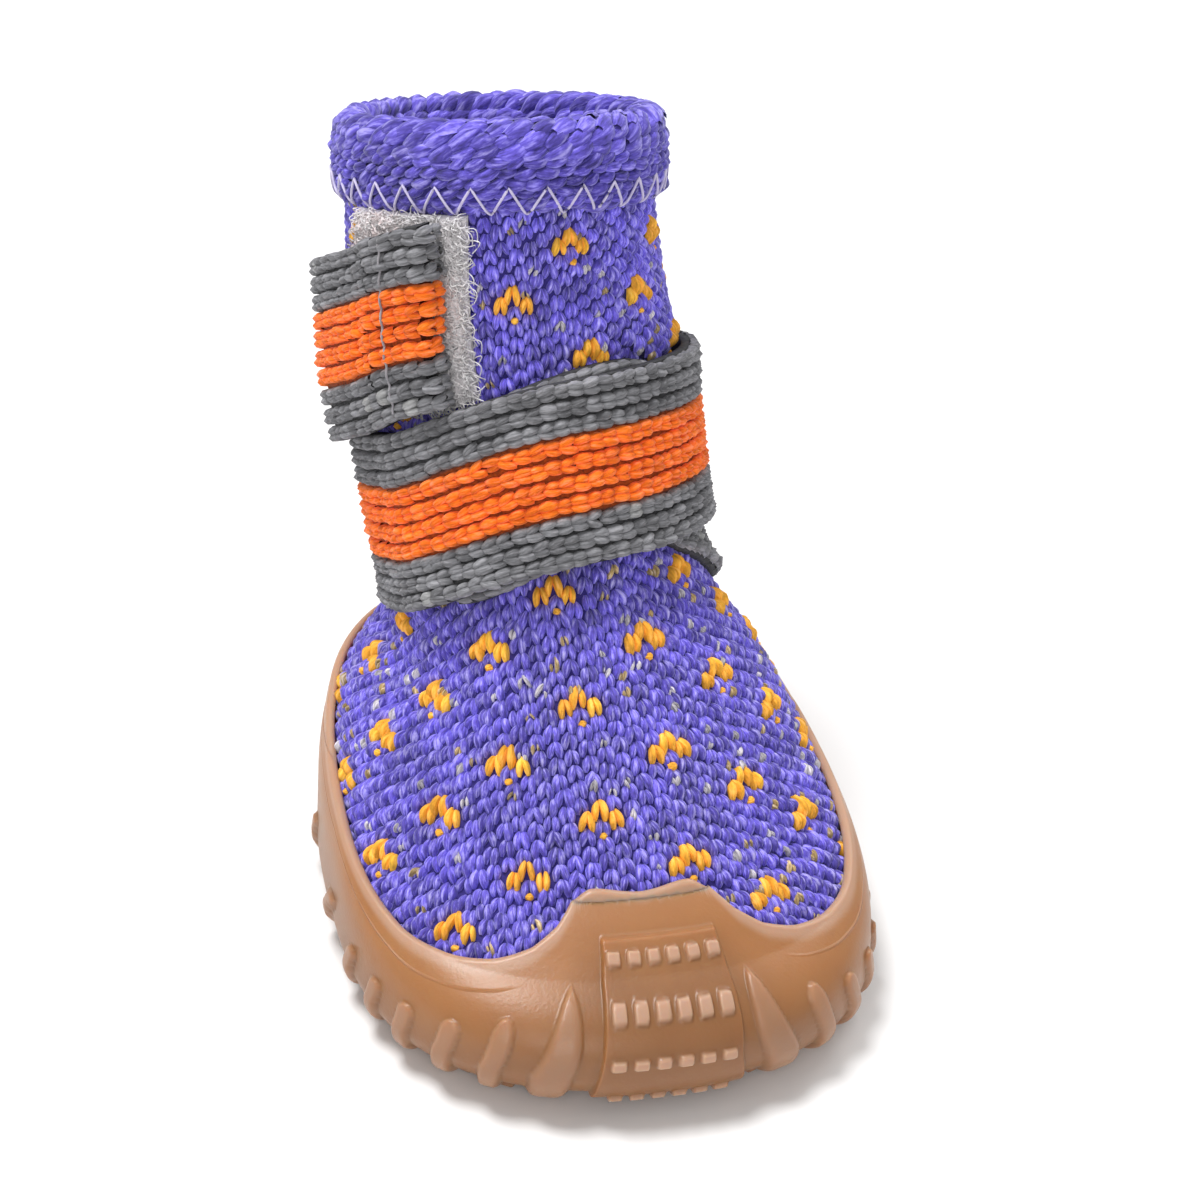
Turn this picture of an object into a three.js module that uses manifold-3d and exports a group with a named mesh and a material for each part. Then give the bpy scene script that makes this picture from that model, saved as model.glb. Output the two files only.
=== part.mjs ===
// A dog shoe: a knitted boot in a moulded rubber cup sole, with a corded strap that winds round the ankle.
// Millimetres, +Z up. The toe points to -Y and the origin is on the floor under the middle of the sole.
import * as THREE from 'three';
import { mergeVertices } from 'three/addons/utils/BufferGeometryUtils.js';
import Module from 'manifold-3d';

const wasm = await Module();
wasm.setup();

// Driving dimensions
const soleLength = 98;
const soleWidth = 74;
const bootHeight = 110; // floor to the front of the knit's top edge
const ankleWidth = 41; // outside width of the knit under the strap
const sideLean = 7; // how far the collar has sagged to the left
const knitWall = 2.2;
const gap = 0.3; // between pieces that touch
const cupGap = 0.45; // between the knit and the cup, where both are strongly curved

const lugDepth = 2;
const plateThick = 2.6;
const cupHeight = 16; // footbed to the crown over the toe
const toeSpring = 1.5;
const bulgeHeight = 6.8; // where the side wall stands out most
const edgeInset = 4.5; // the bottom edge lies this far inside the bulge
const lipThick = 1.8; // rubber at the rim, outside the knit
const insoleThick = 3;

const toeRim = 22; // rim heights above the floor
const lowRim = 15.4;
const sideRim = 19.2;
const heelRim = 24.2;

const padWidth = 18.4;
const padThick = 0.8;
const studMargin = 0.9; // panel beside the outer studs
const studSize = 1.9;
const studHeight = 0.8;
const ribHeight = 1.1;

const strapWidth = 25.4;
const strapThick = 2.4;
const hemLength = 8;
const hemThick = 1.8; // the folded end adds this on top of the strap
const patchThick = 2;
const patchWidth = 17;
const patchHeight = 26;

const collarHeight = 9.5;
const collarSwell = 1.8; // how far the padded collar stands off the knit, outside and inside
const collarTop = 1.9;

const deg = Math.PI / 180;
const around = 48; // stations round the shoe, closer together at the toe
const crowding = 0.4;
const innerRing = 0.4; // share of the way in to the ring of points that lets a flat face follow the toe spring

// Sections of the last from the footbed to the collar. front and back are shares of soleLength from the
// middle. frontUp and backUp run 0 to 1 up the cup and 1 to 2 from there to the top. ball and ankle are shares
// of soleWidth and ankleWidth that add up to the half width, lean is a share of sideLean, wide is where the
// section is widest as a share of its length from the toe, and square is its superellipse power.
const lastSections = [
  { front: -0.465, frontUp: 0, back: 0.465, backUp: 0, ball: 0.454, ankle: 0, lean: 0, wide: 0.42, square: 2.45 },
  { front: -0.459, frontUp: 0.25, back: 0.475, backUp: 0.27,
    ball: 0.468, ankle: 0, lean: 0, wide: 0.42, square: 2.45 },
  { front: -0.432, frontUp: 0.5, back: 0.478, backUp: 0.54,
    ball: 0.47, ankle: 0, lean: 0, wide: 0.42, square: 2.45 },
  { front: -0.38, frontUp: 0.73, back: 0.48, backUp: 0.8,
    ball: 0.464, ankle: 0, lean: 0, wide: 0.43, square: 2.4 },
  { front: -0.315, frontUp: 0.97, back: 0.482, backUp: 1.01,
    ball: 0.448, ankle: 0, lean: 0, wide: 0.44, square: 2.35 },
  { front: -0.245, frontUp: 1.07, back: 0.484, backUp: 1.06,
    ball: 0.42, ankle: 0, lean: 0.06, wide: 0.45, square: 2.25 },
  { front: -0.166, frontUp: 1.17, back: 0.489, backUp: 1.11,
    ball: 0.375, ankle: 0, lean: 0.18, wide: 0.46, square: 2.15 },
  { front: -0.085, frontUp: 1.28, back: 0.497, backUp: 1.16,
    ball: 0.19, ankle: 0.22, lean: 0.35, wide: 0.47, square: 2.1 },
  { front: -0.012, frontUp: 1.38, back: 0.511, backUp: 1.22,
    ball: 0, ankle: 0.5, lean: 0.55, wide: 0.48, square: 2.05 },
  { front: 0.044, frontUp: 1.51, back: 0.542, backUp: 1.32,
    ball: 0, ankle: 0.49, lean: 0.7, wide: 0.48, square: 2.05 },
  { front: 0.092, frontUp: 1.63, back: 0.584, backUp: 1.44,
    ball: 0, ankle: 0.5, lean: 0.82, wide: 0.48, square: 2.05 },
  { front: 0.123, frontUp: 1.75, back: 0.632, backUp: 1.56,
    ball: 0, ankle: 0.52, lean: 0.92, wide: 0.48, square: 2.05 },
  { front: 0.145, frontUp: 1.89, back: 0.674, backUp: 1.69,
    ball: 0, ankle: 0.505, lean: 1, wide: 0.48, square: 2.05 },
  { front: 0.163, frontUp: 2, back: 0.695, backUp: 1.8, ball: 0, ankle: 0.5, lean: 1, wide: 0.48, square: 2.05 },
];
const topSection = lastSections.length - 1;
const strapSection = 9; // the section that the strap's levels are measured from

// Height of the rubber's rim round the shoe, from toe to heel. The crown over the toe has two low peaks.
const rimCourse = [
  { angle: 0, rim: toeRim - 0.5 },
  { angle: 9, rim: toeRim + 0.1 },
  { angle: 13, rim: toeRim - 1.2 },
  { angle: 17, rim: (toeRim + lowRim) / 2 + 0.4 },
  { angle: 23, rim: lowRim + 2 },
  { angle: 32, rim: lowRim + 0.7 },
  { angle: 45, rim: lowRim },
  { angle: 62, rim: lowRim + 0.4 },
  { angle: 90, rim: sideRim },
  { angle: 122, rim: heelRim },
  { angle: 180, rim: heelRim },
];

// The long strap's middle line: angle round the ankle from the toe, positive to the right, and its level up
// the knit from strapSection as a share of strapWidth. It starts at the back, passes left, front, right and
// back again and ends on the patch at the front left.
const longCourse = [
  { angle: -174, level: -0.45 },
  { angle: -140, level: -0.47 },
  { angle: -104, level: -0.37 },
  { angle: -60, level: -0.26 },
  { angle: -12, level: 0.00 },
  { angle: 31, level: 0.08 },
  { angle: 76, level: 0.09 },
  { angle: 110, level: 0.10 },
  { angle: 150, level: 0.19 },
  { angle: 180, level: 0.30 },
  { angle: 215, level: 0.46 },
  { angle: 256, level: 0.57 },
  { angle: 290, level: 0.71 },
  { angle: 323, level: 0.90 },
];
// The short strap comes from the back round the right side and ends under the long one.
const shortCourse = [
  { angle: -44, level: -0.19 },
  { angle: 0, level: 0.05 },
  { angle: 31, level: 0.10 },
  { angle: 50, level: -0.02 },
  { angle: 76, level: -0.24 },
  { angle: 110, level: -0.53 },
  { angle: 140, level: -0.53 },
  { angle: 174, level: -0.45 },
];

const mix = (a, b, t) => a + (b - a) * t;

function ease(from, to, x) {
  const t = Math.min(Math.max((x - from) / (to - from), 0), 1);
  return t * t * (3 - 2 * t);
}

// A column of a table at a place between its rows, smoothly, and straight on past its ends
function column(table, name, at) {
  const last = table.length - 1;
  const value = (row) => table[Math.min(Math.max(row, 0), last)][name];
  if (at < 0) return value(0) + at * (value(1) - value(0));
  if (at > last) return value(last) + (at - last) * (value(last) - value(last - 1));
  const row = Math.min(Math.floor(at), last - 1);
  const t = at - row;
  const start = value(row);
  const end = value(row + 1);
  const leave = (end - value(row - 1)) / 2;
  const arrive = (value(row + 2) - start) / 2;
  const rise = end - start;
  const bend = 3 * rise - 2 * leave - arrive;
  const twist = leave + arrive - 2 * rise;
  return start + leave * t + bend * t * t + twist * t * t * t;
}

// A course at an angle, by the same smooth rule
function course(table, name, angle) {
  let row = 0;
  while (row < table.length - 2 && table[row + 1].angle < angle) row += 1;
  const span = table[row + 1].angle - table[row].angle;
  const at = row + Math.min(Math.max((angle - table[row].angle) / span, 0), 1);
  return column(table, name, at);
}

const wrap = (angle) => angle - 360 * Math.round(angle / 360);
const rimHeight = (angle) => course(rimCourse, 'rim', Math.abs(wrap(angle)));
const power = (x, p) => Math.sign(x) * Math.abs(x) ** p;
const spring = (y) => toeSpring * ease(-0.28, -0.5, y / soleLength);
const footbed = lugDepth + plateThick;
const sectionStep = 0.42; // rise from one section to the next at the ankle, as a share of strapWidth

// The band round the ankle dips to the left and to the back, and the knit is drawn in along it
function bandLevel(angle) {
  return strapWidth * (-0.2 + 0.2 * Math.cos(angle * deg) + 0.22 * Math.sin(angle * deg));
}

// The last: a point of the knit's outer face at a place up the sections and an angle round from the toe
function lastPoint(at, angle) {
  const section = (name) => column(lastSections, name, at);
  const front = section('front') * soleLength;
  const back = section('back') * soleLength;
  const drawn = ease(4.5, 6.5, at) * (1 - ease(10, 12.5, at));
  const widthAt = at - drawn * bandLevel(angle) / (strapWidth * sectionStep);
  const ball = column(lastSections, 'ball', widthAt) * soleWidth;
  const half = ball + column(lastSections, 'ankle', widthAt) * ankleWidth;
  const fold = 2 / section('square');
  const middle = mix(front, back, section('wide'));
  const turn = Math.cos(angle * deg);
  const y = middle - power(turn, fold) * (turn > 0 ? middle - front : back - middle);
  const x = half * power(Math.sin(angle * deg), fold) - sideLean * section('lean');
  const shaft = bootHeight - footbed - cupHeight;
  const height = (up) => Math.min(up, 1) * cupHeight + Math.max(up - 1, 0) * shaft;
  const alongRing = (y - front) / (back - front);
  const up = mix(section('frontUp'), section('backUp'), alongRing);
  const z = mix(height(section('frontUp')), height(section('backUp')), alongRing);
  return new THREE.Vector3(x, y, footbed + gap + z + spring(y) * Math.max(1 - up, 0));
}

// The same point moved out along the surface's normal, or in by a negative distance
function shellPoint(at, angle, out) {
  const point = lastPoint(at, angle);
  const up = lastPoint(at + 0.02, angle).sub(lastPoint(at - 0.02, angle));
  const along = lastPoint(at, angle + 0.5).sub(lastPoint(at, angle - 0.5));
  const normal = along.cross(up);
  normal.normalize();
  normal.z *= ease(0, 2, at);
  return point.addScaledVector(normal.normalize(), out);
}

// The place reached by climbing a length up the last from a section, at one angle
function climb(at, angle, length) {
  const step = length < 0 ? -0.04 : 0.04;
  let place = at;
  let left = Math.abs(length);
  let from = lastPoint(place, angle);
  for (;;) {
    const to = lastPoint(place + step, angle);
    const reach = to.distanceTo(from);
    if (reach >= left) return place + step * left / reach;
    left -= reach;
    place += step;
    from = to;
  }
}

// The place up the last where it has a height, at one angle
function placeAtHeight(height, angle) {
  let low = 0;
  let high = topSection;
  for (let turn = 0; turn < 30; turn += 1) {
    const at = (low + high) / 2;
    if (lastPoint(at, angle).z < height) low = at;
    else high = at;
  }
  return low;
}

// Angles of the stations round the whole shoe
const stations = Array.from({ length: around }, (_, i) => {
  const even = i / around * 360;
  return even - crowding / deg * Math.sin(even * deg);
});

// A solid from rings of points, each a closed outline. Rings join end to start, or end in caps across a ring.
function ringSolid(rings, closed) {
  const positions = [];
  const triangle = (a, b, c) => {
    const thin = a.distanceTo(b) < 1e-4 || b.distanceTo(c) < 1e-4 || c.distanceTo(a) < 1e-4;
    if (!thin) positions.push(a.x, a.y, a.z, b.x, b.y, b.z, c.x, c.y, c.z);
  };
  const count = rings[0].length;
  const spans = closed ? rings.length : rings.length - 1;
  for (let i = 0; i < spans; i += 1) {
    const here = rings[i];
    const next = rings[(i + 1) % rings.length];
    for (let j = 0; j < count; j += 1) {
      const k = (j + 1) % count;
      triangle(here[j], next[j], next[k]);
      triangle(here[j], next[k], here[k]);
    }
  }
  if (!closed) {
    const [first, last] = [rings[0], rings[rings.length - 1]];
    for (let j = 0; j < count / 2 - 1; j += 1) {
      const k = count - 1 - j;
      triangle(first[j], first[j + 1], first[k - 1]);
      triangle(first[j], first[k - 1], first[k]);
      triangle(last[j], last[k - 1], last[j + 1]);
      triangle(last[j], last[k], last[k - 1]);
    }
  }
  return outward(positions);
}

// Merged geometry with its faces pointing out
function outward(positions) {
  let volume = 0;
  for (let i = 0; i < positions.length; i += 9) {
    const [ax, ay, az, bx, by, bz, cx, cy, cz] = positions.slice(i, i + 9);
    volume += ax * (by * cz - bz * cy) + ay * (bz * cx - bx * cz) + az * (bx * cy - by * cx);
  }
  if (volume < 0) {
    for (let i = 0; i < positions.length; i += 9) {
      for (let k = 0; k < 3; k += 1) {
        [positions[i + 3 + k], positions[i + 6 + k]] = [positions[i + 6 + k], positions[i + 3 + k]];
      }
    }
  }
  const geometry = new THREE.BufferGeometry();
  geometry.setAttribute('position', new THREE.Float32BufferAttribute(positions, 3));
  return mergeVertices(geometry, 1e-4);
}

function toSolid(geometry) {
  const plain = geometry.clone();
  for (const name of Object.keys(plain.attributes)) {
    if (name !== 'position') plain.deleteAttribute(name);
  }
  const merged = mergeVertices(plain, 1e-4);
  return new wasm.Manifold(new wasm.Mesh({
    numProp: 3,
    vertProperties: new Float32Array(merged.attributes.position.array),
    triVerts: new Uint32Array(merged.index.array),
  }));
}

function toGeometry(solid) {
  const mesh = solid.getMesh();
  const geometry = new THREE.BufferGeometry();
  geometry.setAttribute('position', new THREE.BufferAttribute(new Float32Array(mesh.vertProperties), 3));
  geometry.setIndex(new THREE.BufferAttribute(new Uint32Array(mesh.triVerts), 1));
  return geometry;
}

// The sole's outline at a height, a distance inside its widest line
function outline(angle, inset, z) {
  const { wide, square } = lastSections[0];
  const half = soleWidth / 2 - inset;
  const reach = soleLength / 2 - inset;
  const middle = mix(-reach, reach, wide);
  const turn = Math.cos(angle * deg);
  const y = middle - power(turn, 2 / square) * (turn > 0 ? middle + reach : reach - middle);
  return new THREE.Vector3(half * power(Math.sin(angle * deg), 2 / square), y, z + spring(y));
}

// The sole's outer wall from its bottom edge, share 0, round the bulge to the rim, share 1
const bulgeShare = 0.28;
const rimPlace = (angle) => placeAtHeight(rimHeight(angle), angle);

function wallPoint(angle, share) {
  if (share < bulgeShare) {
    const turn = share / bulgeShare * 90 * deg;
    const inset = edgeInset * (1 - Math.sin(turn));
    return outline(angle, inset, mix(bulgeHeight, lugDepth, Math.cos(turn)));
  }
  const t = (share - bulgeShare) / (1 - bulgeShare);
  const bulge = outline(angle, 0, bulgeHeight);
  const rim = shellPoint(rimPlace(angle), angle, lipThick);
  const point = bulge.clone().lerp(rim, t ** 1.8);
  point.z = mix(bulge.z, rim.z, t);
  return point;
}

function wallFace(angle, share, out) {
  const point = wallPoint(angle, share);
  const up = wallPoint(angle, Math.min(share + 0.02, 1)).sub(wallPoint(angle, Math.max(share - 0.02, 0)));
  const along = wallPoint(angle + 0.4, share).sub(wallPoint(angle - 0.4, share));
  return point.addScaledVector(along.cross(up).normalize(), out);
}

// Raised form on the wall: across runs -1 to 1, and both place and height come from the caller's functions
function wallForm(rows, columns, place, height) {
  const rings = [];
  for (let i = 0; i <= rows; i += 1) {
    const top = [];
    const bottom = [];
    for (let j = 0; j <= columns; j += 1) {
      const across = j / columns * 2 - 1;
      const { angle, share } = place(i / rows, across);
      top.push(wallFace(angle, share, height(i / rows, across)));
      bottom.push(wallFace(angle, share, -lipThick / 2));
    }
    rings.push([...top, ...bottom.reverse()]);
  }
  return toSolid(ringSolid(rings, false));
}

// Angle round the toe for a distance sideways at the bulge
function toeAngle(x) {
  const share = Math.abs(x) / (soleWidth / 2);
  return Math.sign(x) * Math.asin(share ** (lastSections[0].square / 2)) / deg;
}

function soleShell() {
  const outside = [0, 0.1, 0.19, bulgeShare, 0.5, 0.75, 1];
  const insideRows = 6;
  const plateMiddle = new THREE.Vector3(0, 0, lugDepth);
  const bedMiddle = new THREE.Vector3(0, 0, footbed);
  const rings = stations.map((angle) => {
    const place = rimPlace(angle);
    const edge = outline(angle, edgeInset, lugDepth);
    const inner = edge.clone().lerp(plateMiddle, innerRing);
    inner.z = lugDepth + spring(inner.y);
    const ring = [plateMiddle, inner];
    for (const share of outside) ring.push(wallPoint(angle, share));
    ring.push(shellPoint(climb(place, angle, 0.8), angle, (lipThick + cupGap) / 2));
    for (let k = insideRows; k >= 0; k -= 1) ring.push(shellPoint(place * k / insideRows, angle, cupGap));
    const floorEdge = shellPoint(0, angle, cupGap);
    floorEdge.z = footbed + spring(floorEdge.y);
    ring.push(floorEdge);
    const floorInner = floorEdge.clone().lerp(bedMiddle, innerRing);
    floorInner.z = footbed + spring(floorInner.y);
    ring.push(floorInner, bedMiddle);
    return ring;
  });
  return toSolid(ringSolid(rings, true));
}

// The panel at the toe from its bottom edge up: share of the wall, and half width as a share of padWidth
const padShape = [
  { share: 0.06, half: 0.59 },
  { share: 0.32, half: 0.52 },
  { share: 0.58, half: 0.5 },
  { share: 0.84, half: 0.465 },
];
const studRows = [0.125, 0.385, 0.585, 0.745]; // shares of the wall
const studColumns = 6;

function toePad() {
  const lastRow = padShape.length - 1;
  let pad = wallForm(2 * lastRow, 3, (up, across) => ({
    angle: toeAngle(across * column(padShape, 'half', up * lastRow) * padWidth),
    share: column(padShape, 'share', up * lastRow),
  }), () => padThick);
  const studPitch = (padWidth - 2 * studMargin - studSize) / (studColumns - 1);
  const wallMiddle = wallPoint(0, 0.5);
  const wallLength = wallPoint(0, 0).distanceTo(wallMiddle) + wallMiddle.distanceTo(wallPoint(0, 1));
  for (const share of studRows) {
    for (let k = 0; k < studColumns; k += 1) {
      const middle = (k - (studColumns - 1) / 2) * studPitch;
      pad = pad.add(wallForm(1, 1, (up, across) => ({
        angle: toeAngle(middle + across * studSize / 2),
        share: share + (up - 0.5) * studSize / wallLength,
      }), () => padThick + studHeight));
    }
  }
  return pad;
}

// Ribs on the side wall, from the toe pad back. lean moves the top towards the toe, in degrees.
const ribs = [
  { angle: 22, width: 5.6, bottom: 0.10, top: 0.71, lean: 6 },
  { angle: 35, width: 3.2, bottom: 0.10, top: 0.74, lean: 5 },
  { angle: 47, width: 3.2, bottom: 0.10, top: 0.68, lean: 4 },
  { angle: 59, width: 3.2, bottom: 0.10, top: 0.61, lean: 3 },
  { angle: 70, width: 3.0, bottom: 0.10, top: 0.55, lean: 3 },
  { angle: 81, width: 3.0, bottom: 0.10, top: 0.50, lean: 3 },
  { angle: 93, width: 2.8, bottom: 0.10, top: 0.47, lean: 3 },
  { angle: 108, width: 2.8, bottom: 0.10, top: 0.44, lean: 3 },
];

function rib(side, row) {
  // Millimetres for a degree round the wall
  const reach = wallPoint(row.angle + 1, 0.3).distanceTo(wallPoint(row.angle, 0.3));
  return wallForm(3, 2, (up, across) => {
    const taper = 1 - 0.85 * up * up;
    const angle = row.angle - row.lean * up + across * row.width / 2 / reach * taper;
    return { angle: side * angle, share: mix(row.bottom, row.top, up) };
  }, (up, across) => ribHeight * (1 - across * across) * (1 - 0.7 * (1.6 * up - 0.6) ** 2) + 0.05);
}

// Lugs: a block under each rib and blocks in rows under the foot
const lugRows = [
  { y: -0.36, half: 0.13, count: 2 },
  { y: -0.24, half: 0.27, count: 3 },
  { y: -0.12, half: 0.31, count: 3 },
  { y: 0.00, half: 0.31, count: 3 },
  { y: 0.12, half: 0.30, count: 3 },
  { y: 0.24, half: 0.27, count: 3 },
  { y: 0.36, half: 0.12, count: 2 },
];
const lugLong = 9;
const lugWide = 6.5;
const edgeLugLong = 7;
const edgeLugWide = 5;
const lugRoot = 1.2; // how far a lug reaches into the plate

function block(x, y, turn, long, wide) {
  const lift = spring(y);
  const box = new THREE.BoxGeometry(long, wide, lugDepth + lugRoot);
  box.rotateZ(turn);
  box.translate(x, y, lift + (lugDepth + lugRoot) / 2);
  return toSolid(box);
}

function lugs() {
  const blocks = [];
  for (const row of lugRows) {
    for (let k = 0; k < row.count; k += 1) {
      const x = mix(-1, 1, k / (row.count - 1)) * row.half * soleWidth;
      blocks.push(block(x, row.y * soleLength, 0, lugLong, lugWide));
    }
  }
  for (const side of [-1, 1]) {
    for (const row of ribs) {
      const inner = outline(side * row.angle, edgeInset + edgeLugLong / 2 - 0.6, 0);
      const outer = outline(side * row.angle, edgeInset, 0);
      const turn = Math.atan2(outer.y - inner.y, outer.x - inner.x);
      blocks.push(block(inner.x, inner.y, turn, edgeLugLong, edgeLugWide));
    }
  }
  return blocks;
}

function outsole() {
  let solid = soleShell().add(toePad());
  for (const side of [-1, 1]) {
    for (const row of ribs) solid = solid.add(rib(side, row));
  }
  for (const lug of lugs()) solid = solid.add(lug);
  return toGeometry(solid);
}

function insole() {
  const rings = stations.map((angle) => {
    const edge = shellPoint(0, angle, -knitWall - cupGap);
    const level = (point, z) => new THREE.Vector3(point.x, point.y, footbed + gap + spring(point.y) + z);
    const middle = new THREE.Vector3(0, 0, 0);
    const topPlace = placeAtHeight(footbed + gap + spring(edge.y) + insoleThick, angle);
    const topEdge = shellPoint(topPlace, angle, -knitWall - cupGap);
    return [
      level(middle, 0),
      level(edge.clone().lerp(middle, innerRing), 0),
      level(edge, 0),
      level(topEdge, insoleThick),
      level(topEdge.clone().lerp(middle, innerRing), insoleThick),
      level(middle, insoleThick),
    ];
  });
  return ringSolid(rings, true);
}

// The knit upper, one hollow wall open at the collar and underneath
function upper() {
  const outerRows = [0, 1, 2, 3, 4, 5, 5.6, 6.2, 6.8, 7.4, 8.1, 9, 10, 11, 12, topSection];
  const innerRows = [topSection, 12, 11, 10, 9, 8, 7, 6, 5, 4, 3, 2, 1, 0.4, 0];
  const rings = stations.map((angle) => [
    ...outerRows.map((at) => shellPoint(at, angle, 0)),
    ...innerRows.map((at) => shellPoint(at, angle, -knitWall)),
  ]);
  return ringSolid(rings, true);
}

// The padded collar folds over the knit's top edge. out is the distance from the knit's outer face, as a share
// of collarSwell past the face it lies on, and up a share of collarHeight below the edge or of collarTop above.
function collar() {
  const rings = stations.map((angle) => {
    const place = (up) => climb(topSection, angle, up);
    const point = (up, out) => shellPoint(place(up), angle, out);
    return [
      point(-collarHeight, gap),
      point(-collarHeight * 0.9, collarSwell * 0.75),
      point(-collarHeight * 0.55, collarSwell),
      point(-collarHeight * 0.12, collarSwell * 0.9),
      point(collarTop * 0.75, collarSwell * 0.2),
      point(collarTop, -knitWall / 2),
      point(collarTop * 0.75, -knitWall - collarSwell * 0.2),
      point(-collarHeight * 0.12, -knitWall - collarSwell * 0.9),
      point(-collarHeight * 0.55, -knitWall - collarSwell),
      point(-collarHeight * 0.85, -knitWall - gap),
      point(gap, -knitWall - gap),
      point(gap, gap),
    ];
  });
  return ringSolid(rings, true);
}

// A strap along a course, lying on whatever base gives for an angle and as thick as thick gives
function strap(table, steps, base, thick) {
  const rowsAcross = 6;
  const first = table[0].angle;
  const last = table[table.length - 1].angle;
  const rings = [];
  for (let i = 0; i <= steps; i += 1) {
    const angle = mix(first, last, i / steps);
    const level = course(table, 'level', angle) * strapWidth;
    const inner = [];
    const outer = [];
    for (let j = 0; j <= rowsAcross; j += 1) {
      const place = climb(strapSection, angle, level + (j / rowsAcross - 0.5) * strapWidth);
      inner.push(shellPoint(place, angle, base(angle)));
      outer.push(shellPoint(place, angle, base(angle) + thick(angle)));
    }
    rings.push([...inner, ...outer.reverse()]);
  }
  return ringSolid(rings, false);
}

// The long strap steps up on to the short one, stays up as it crosses its own start at the back, and ends on
// the patch. The folded hem at its end is a step in its thickness.
const patchAngle = -50;
const shortEnd = shortCourse[0].angle;
const strapEnd = longCourse[longCourse.length - 1].angle;
const overShort = 2 * gap + strapThick;
const overPatch = 2 * gap + patchThick;
const patchStart = { from: 245, to: 275 }; // angles between which the strap settles on the patch
function longBase(angle) {
  const stepped = mix(gap, overShort, ease(shortEnd - 30, shortEnd - 10, angle));
  return mix(stepped, overPatch, ease(patchStart.from, patchStart.to, angle));
}
const hemDegrees = hemLength / ((ankleWidth / 2 + overPatch + strapThick) * deg);
const hem = (angle) => strapThick + hemThick * ease(strapEnd - hemDegrees - 4, strapEnd - hemDegrees, angle);

// The fuzzy patch that the strap's end sticks to, on the front left between the band and the collar
function patch() {
  const halfAngle = patchWidth / 2 / (ankleWidth / 2 * deg);
  const rowsUp = 5;
  const steps = 7;
  const rings = [];
  for (let i = 0; i <= steps; i += 1) {
    const angle = patchAngle + mix(-halfAngle, halfAngle, i / steps);
    const bandTop = climb(strapSection, angle, (course(longCourse, 'level', angle) + 0.5) * strapWidth + gap);
    const roof = climb(topSection, angle, -collarHeight - gap);
    const floor = Math.max(bandTop, climb(roof, angle, -patchHeight));
    const inner = [];
    const outer = [];
    for (let j = 0; j <= rowsUp; j += 1) {
      const place = mix(floor, roof, j / rowsUp);
      inner.push(shellPoint(place, angle, gap));
      outer.push(shellPoint(place, angle, gap + patchThick));
    }
    rings.push([...inner, ...outer.reverse()]);
  }
  return ringSolid(rings, false);
}

const rubber = new THREE.MeshStandardMaterial({ color: 0xc8935f, roughness: 0.45, metalness: 0 });
const knit = new THREE.MeshStandardMaterial({ color: 0x5849be, roughness: 0.9, metalness: 0 });
const webbing = new THREE.MeshStandardMaterial({ color: 0xff6e14, roughness: 0.9, metalness: 0 });
const felt = new THREE.MeshStandardMaterial({ color: 0xb9b6b8, roughness: 1, metalness: 0 });
const lining = new THREE.MeshStandardMaterial({ color: 0x3c3866, roughness: 1, metalness: 0 });

const group = new THREE.Group();
function add(name, geometry, material) {
  const mesh = new THREE.Mesh(geometry, material);
  mesh.name = name;
  group.add(mesh);
}

add('outsole', outsole(), rubber);
add('insole', insole(), lining);
add('upper', upper(), knit);
add('collar', collar(), knit);
add('strap_short', strap(shortCourse, 24, () => gap, () => strapThick), webbing);
add('strap_long', strap(longCourse, 58, longBase, hem), webbing);
add('loop_patch', patch(), felt);

export default group;
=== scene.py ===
import math

import bpy
import numpy as np
from mathutils import Matrix, Vector


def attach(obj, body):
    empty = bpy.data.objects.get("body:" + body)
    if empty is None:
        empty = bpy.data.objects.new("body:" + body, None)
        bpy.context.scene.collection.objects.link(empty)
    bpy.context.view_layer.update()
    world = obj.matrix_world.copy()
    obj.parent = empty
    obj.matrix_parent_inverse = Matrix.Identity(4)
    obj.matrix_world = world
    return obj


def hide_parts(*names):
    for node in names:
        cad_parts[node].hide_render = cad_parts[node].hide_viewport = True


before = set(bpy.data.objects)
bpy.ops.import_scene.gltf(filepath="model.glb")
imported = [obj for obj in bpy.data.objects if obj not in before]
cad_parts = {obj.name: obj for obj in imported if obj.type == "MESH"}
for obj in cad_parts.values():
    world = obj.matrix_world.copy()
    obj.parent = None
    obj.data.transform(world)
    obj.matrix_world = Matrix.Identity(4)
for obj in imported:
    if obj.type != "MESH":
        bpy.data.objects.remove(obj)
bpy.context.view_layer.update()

rng = np.random.default_rng(7)

# Sizes of the shoe in millimetres, as the frame has them
SOLE_LENGTH = 98
SOLE_WIDTH = 74
BOOT_HEIGHT = 110
ANKLE_WIDTH = 41
SIDE_LEAN = 7
KNIT_WALL = 2.2
GAP = 0.3
CUP_GAP = 0.45
LUG_DEPTH = 2
PLATE_THICK = 2.6
FOOTBED = LUG_DEPTH + PLATE_THICK
CUP_HEIGHT = 16
TOE_SPRING = 1.5
BULGE_HEIGHT = 6.8
BULGE_SHARE = 0.28  # the bulge's share of the way up the wall
EDGE_INSET = 4.5
LIP_THICK = 1.8
INSOLE_THICK = 3
TOE_RIM = 22
LOW_RIM = 15.4
SIDE_RIM = 19.2
HEEL_RIM = 24.2
CROWN_END = 45  # degrees from the toe where the crown has run out
PAD_WIDTH = 18.4
PAD_THICK = 0.8
STUD_COLUMNS = 6
STUD_MARGIN = 0.9
STUD_SIZE = 1.9
STUD_HEIGHT = 0.8
STUD_SHOWN = 0.8  # the share of that height which the drawn studs have
RIB_HEIGHT = 1.1
STRAP_WIDTH = 25.4
STRAP_THICK = 2.4
CORDS = 10
CORD_WIDTH = STRAP_WIDTH / CORDS
HEM_LENGTH = 8
HEM_THICK = 1.8
PATCH_THICK = 2
PATCH_WIDTH = 17
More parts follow.
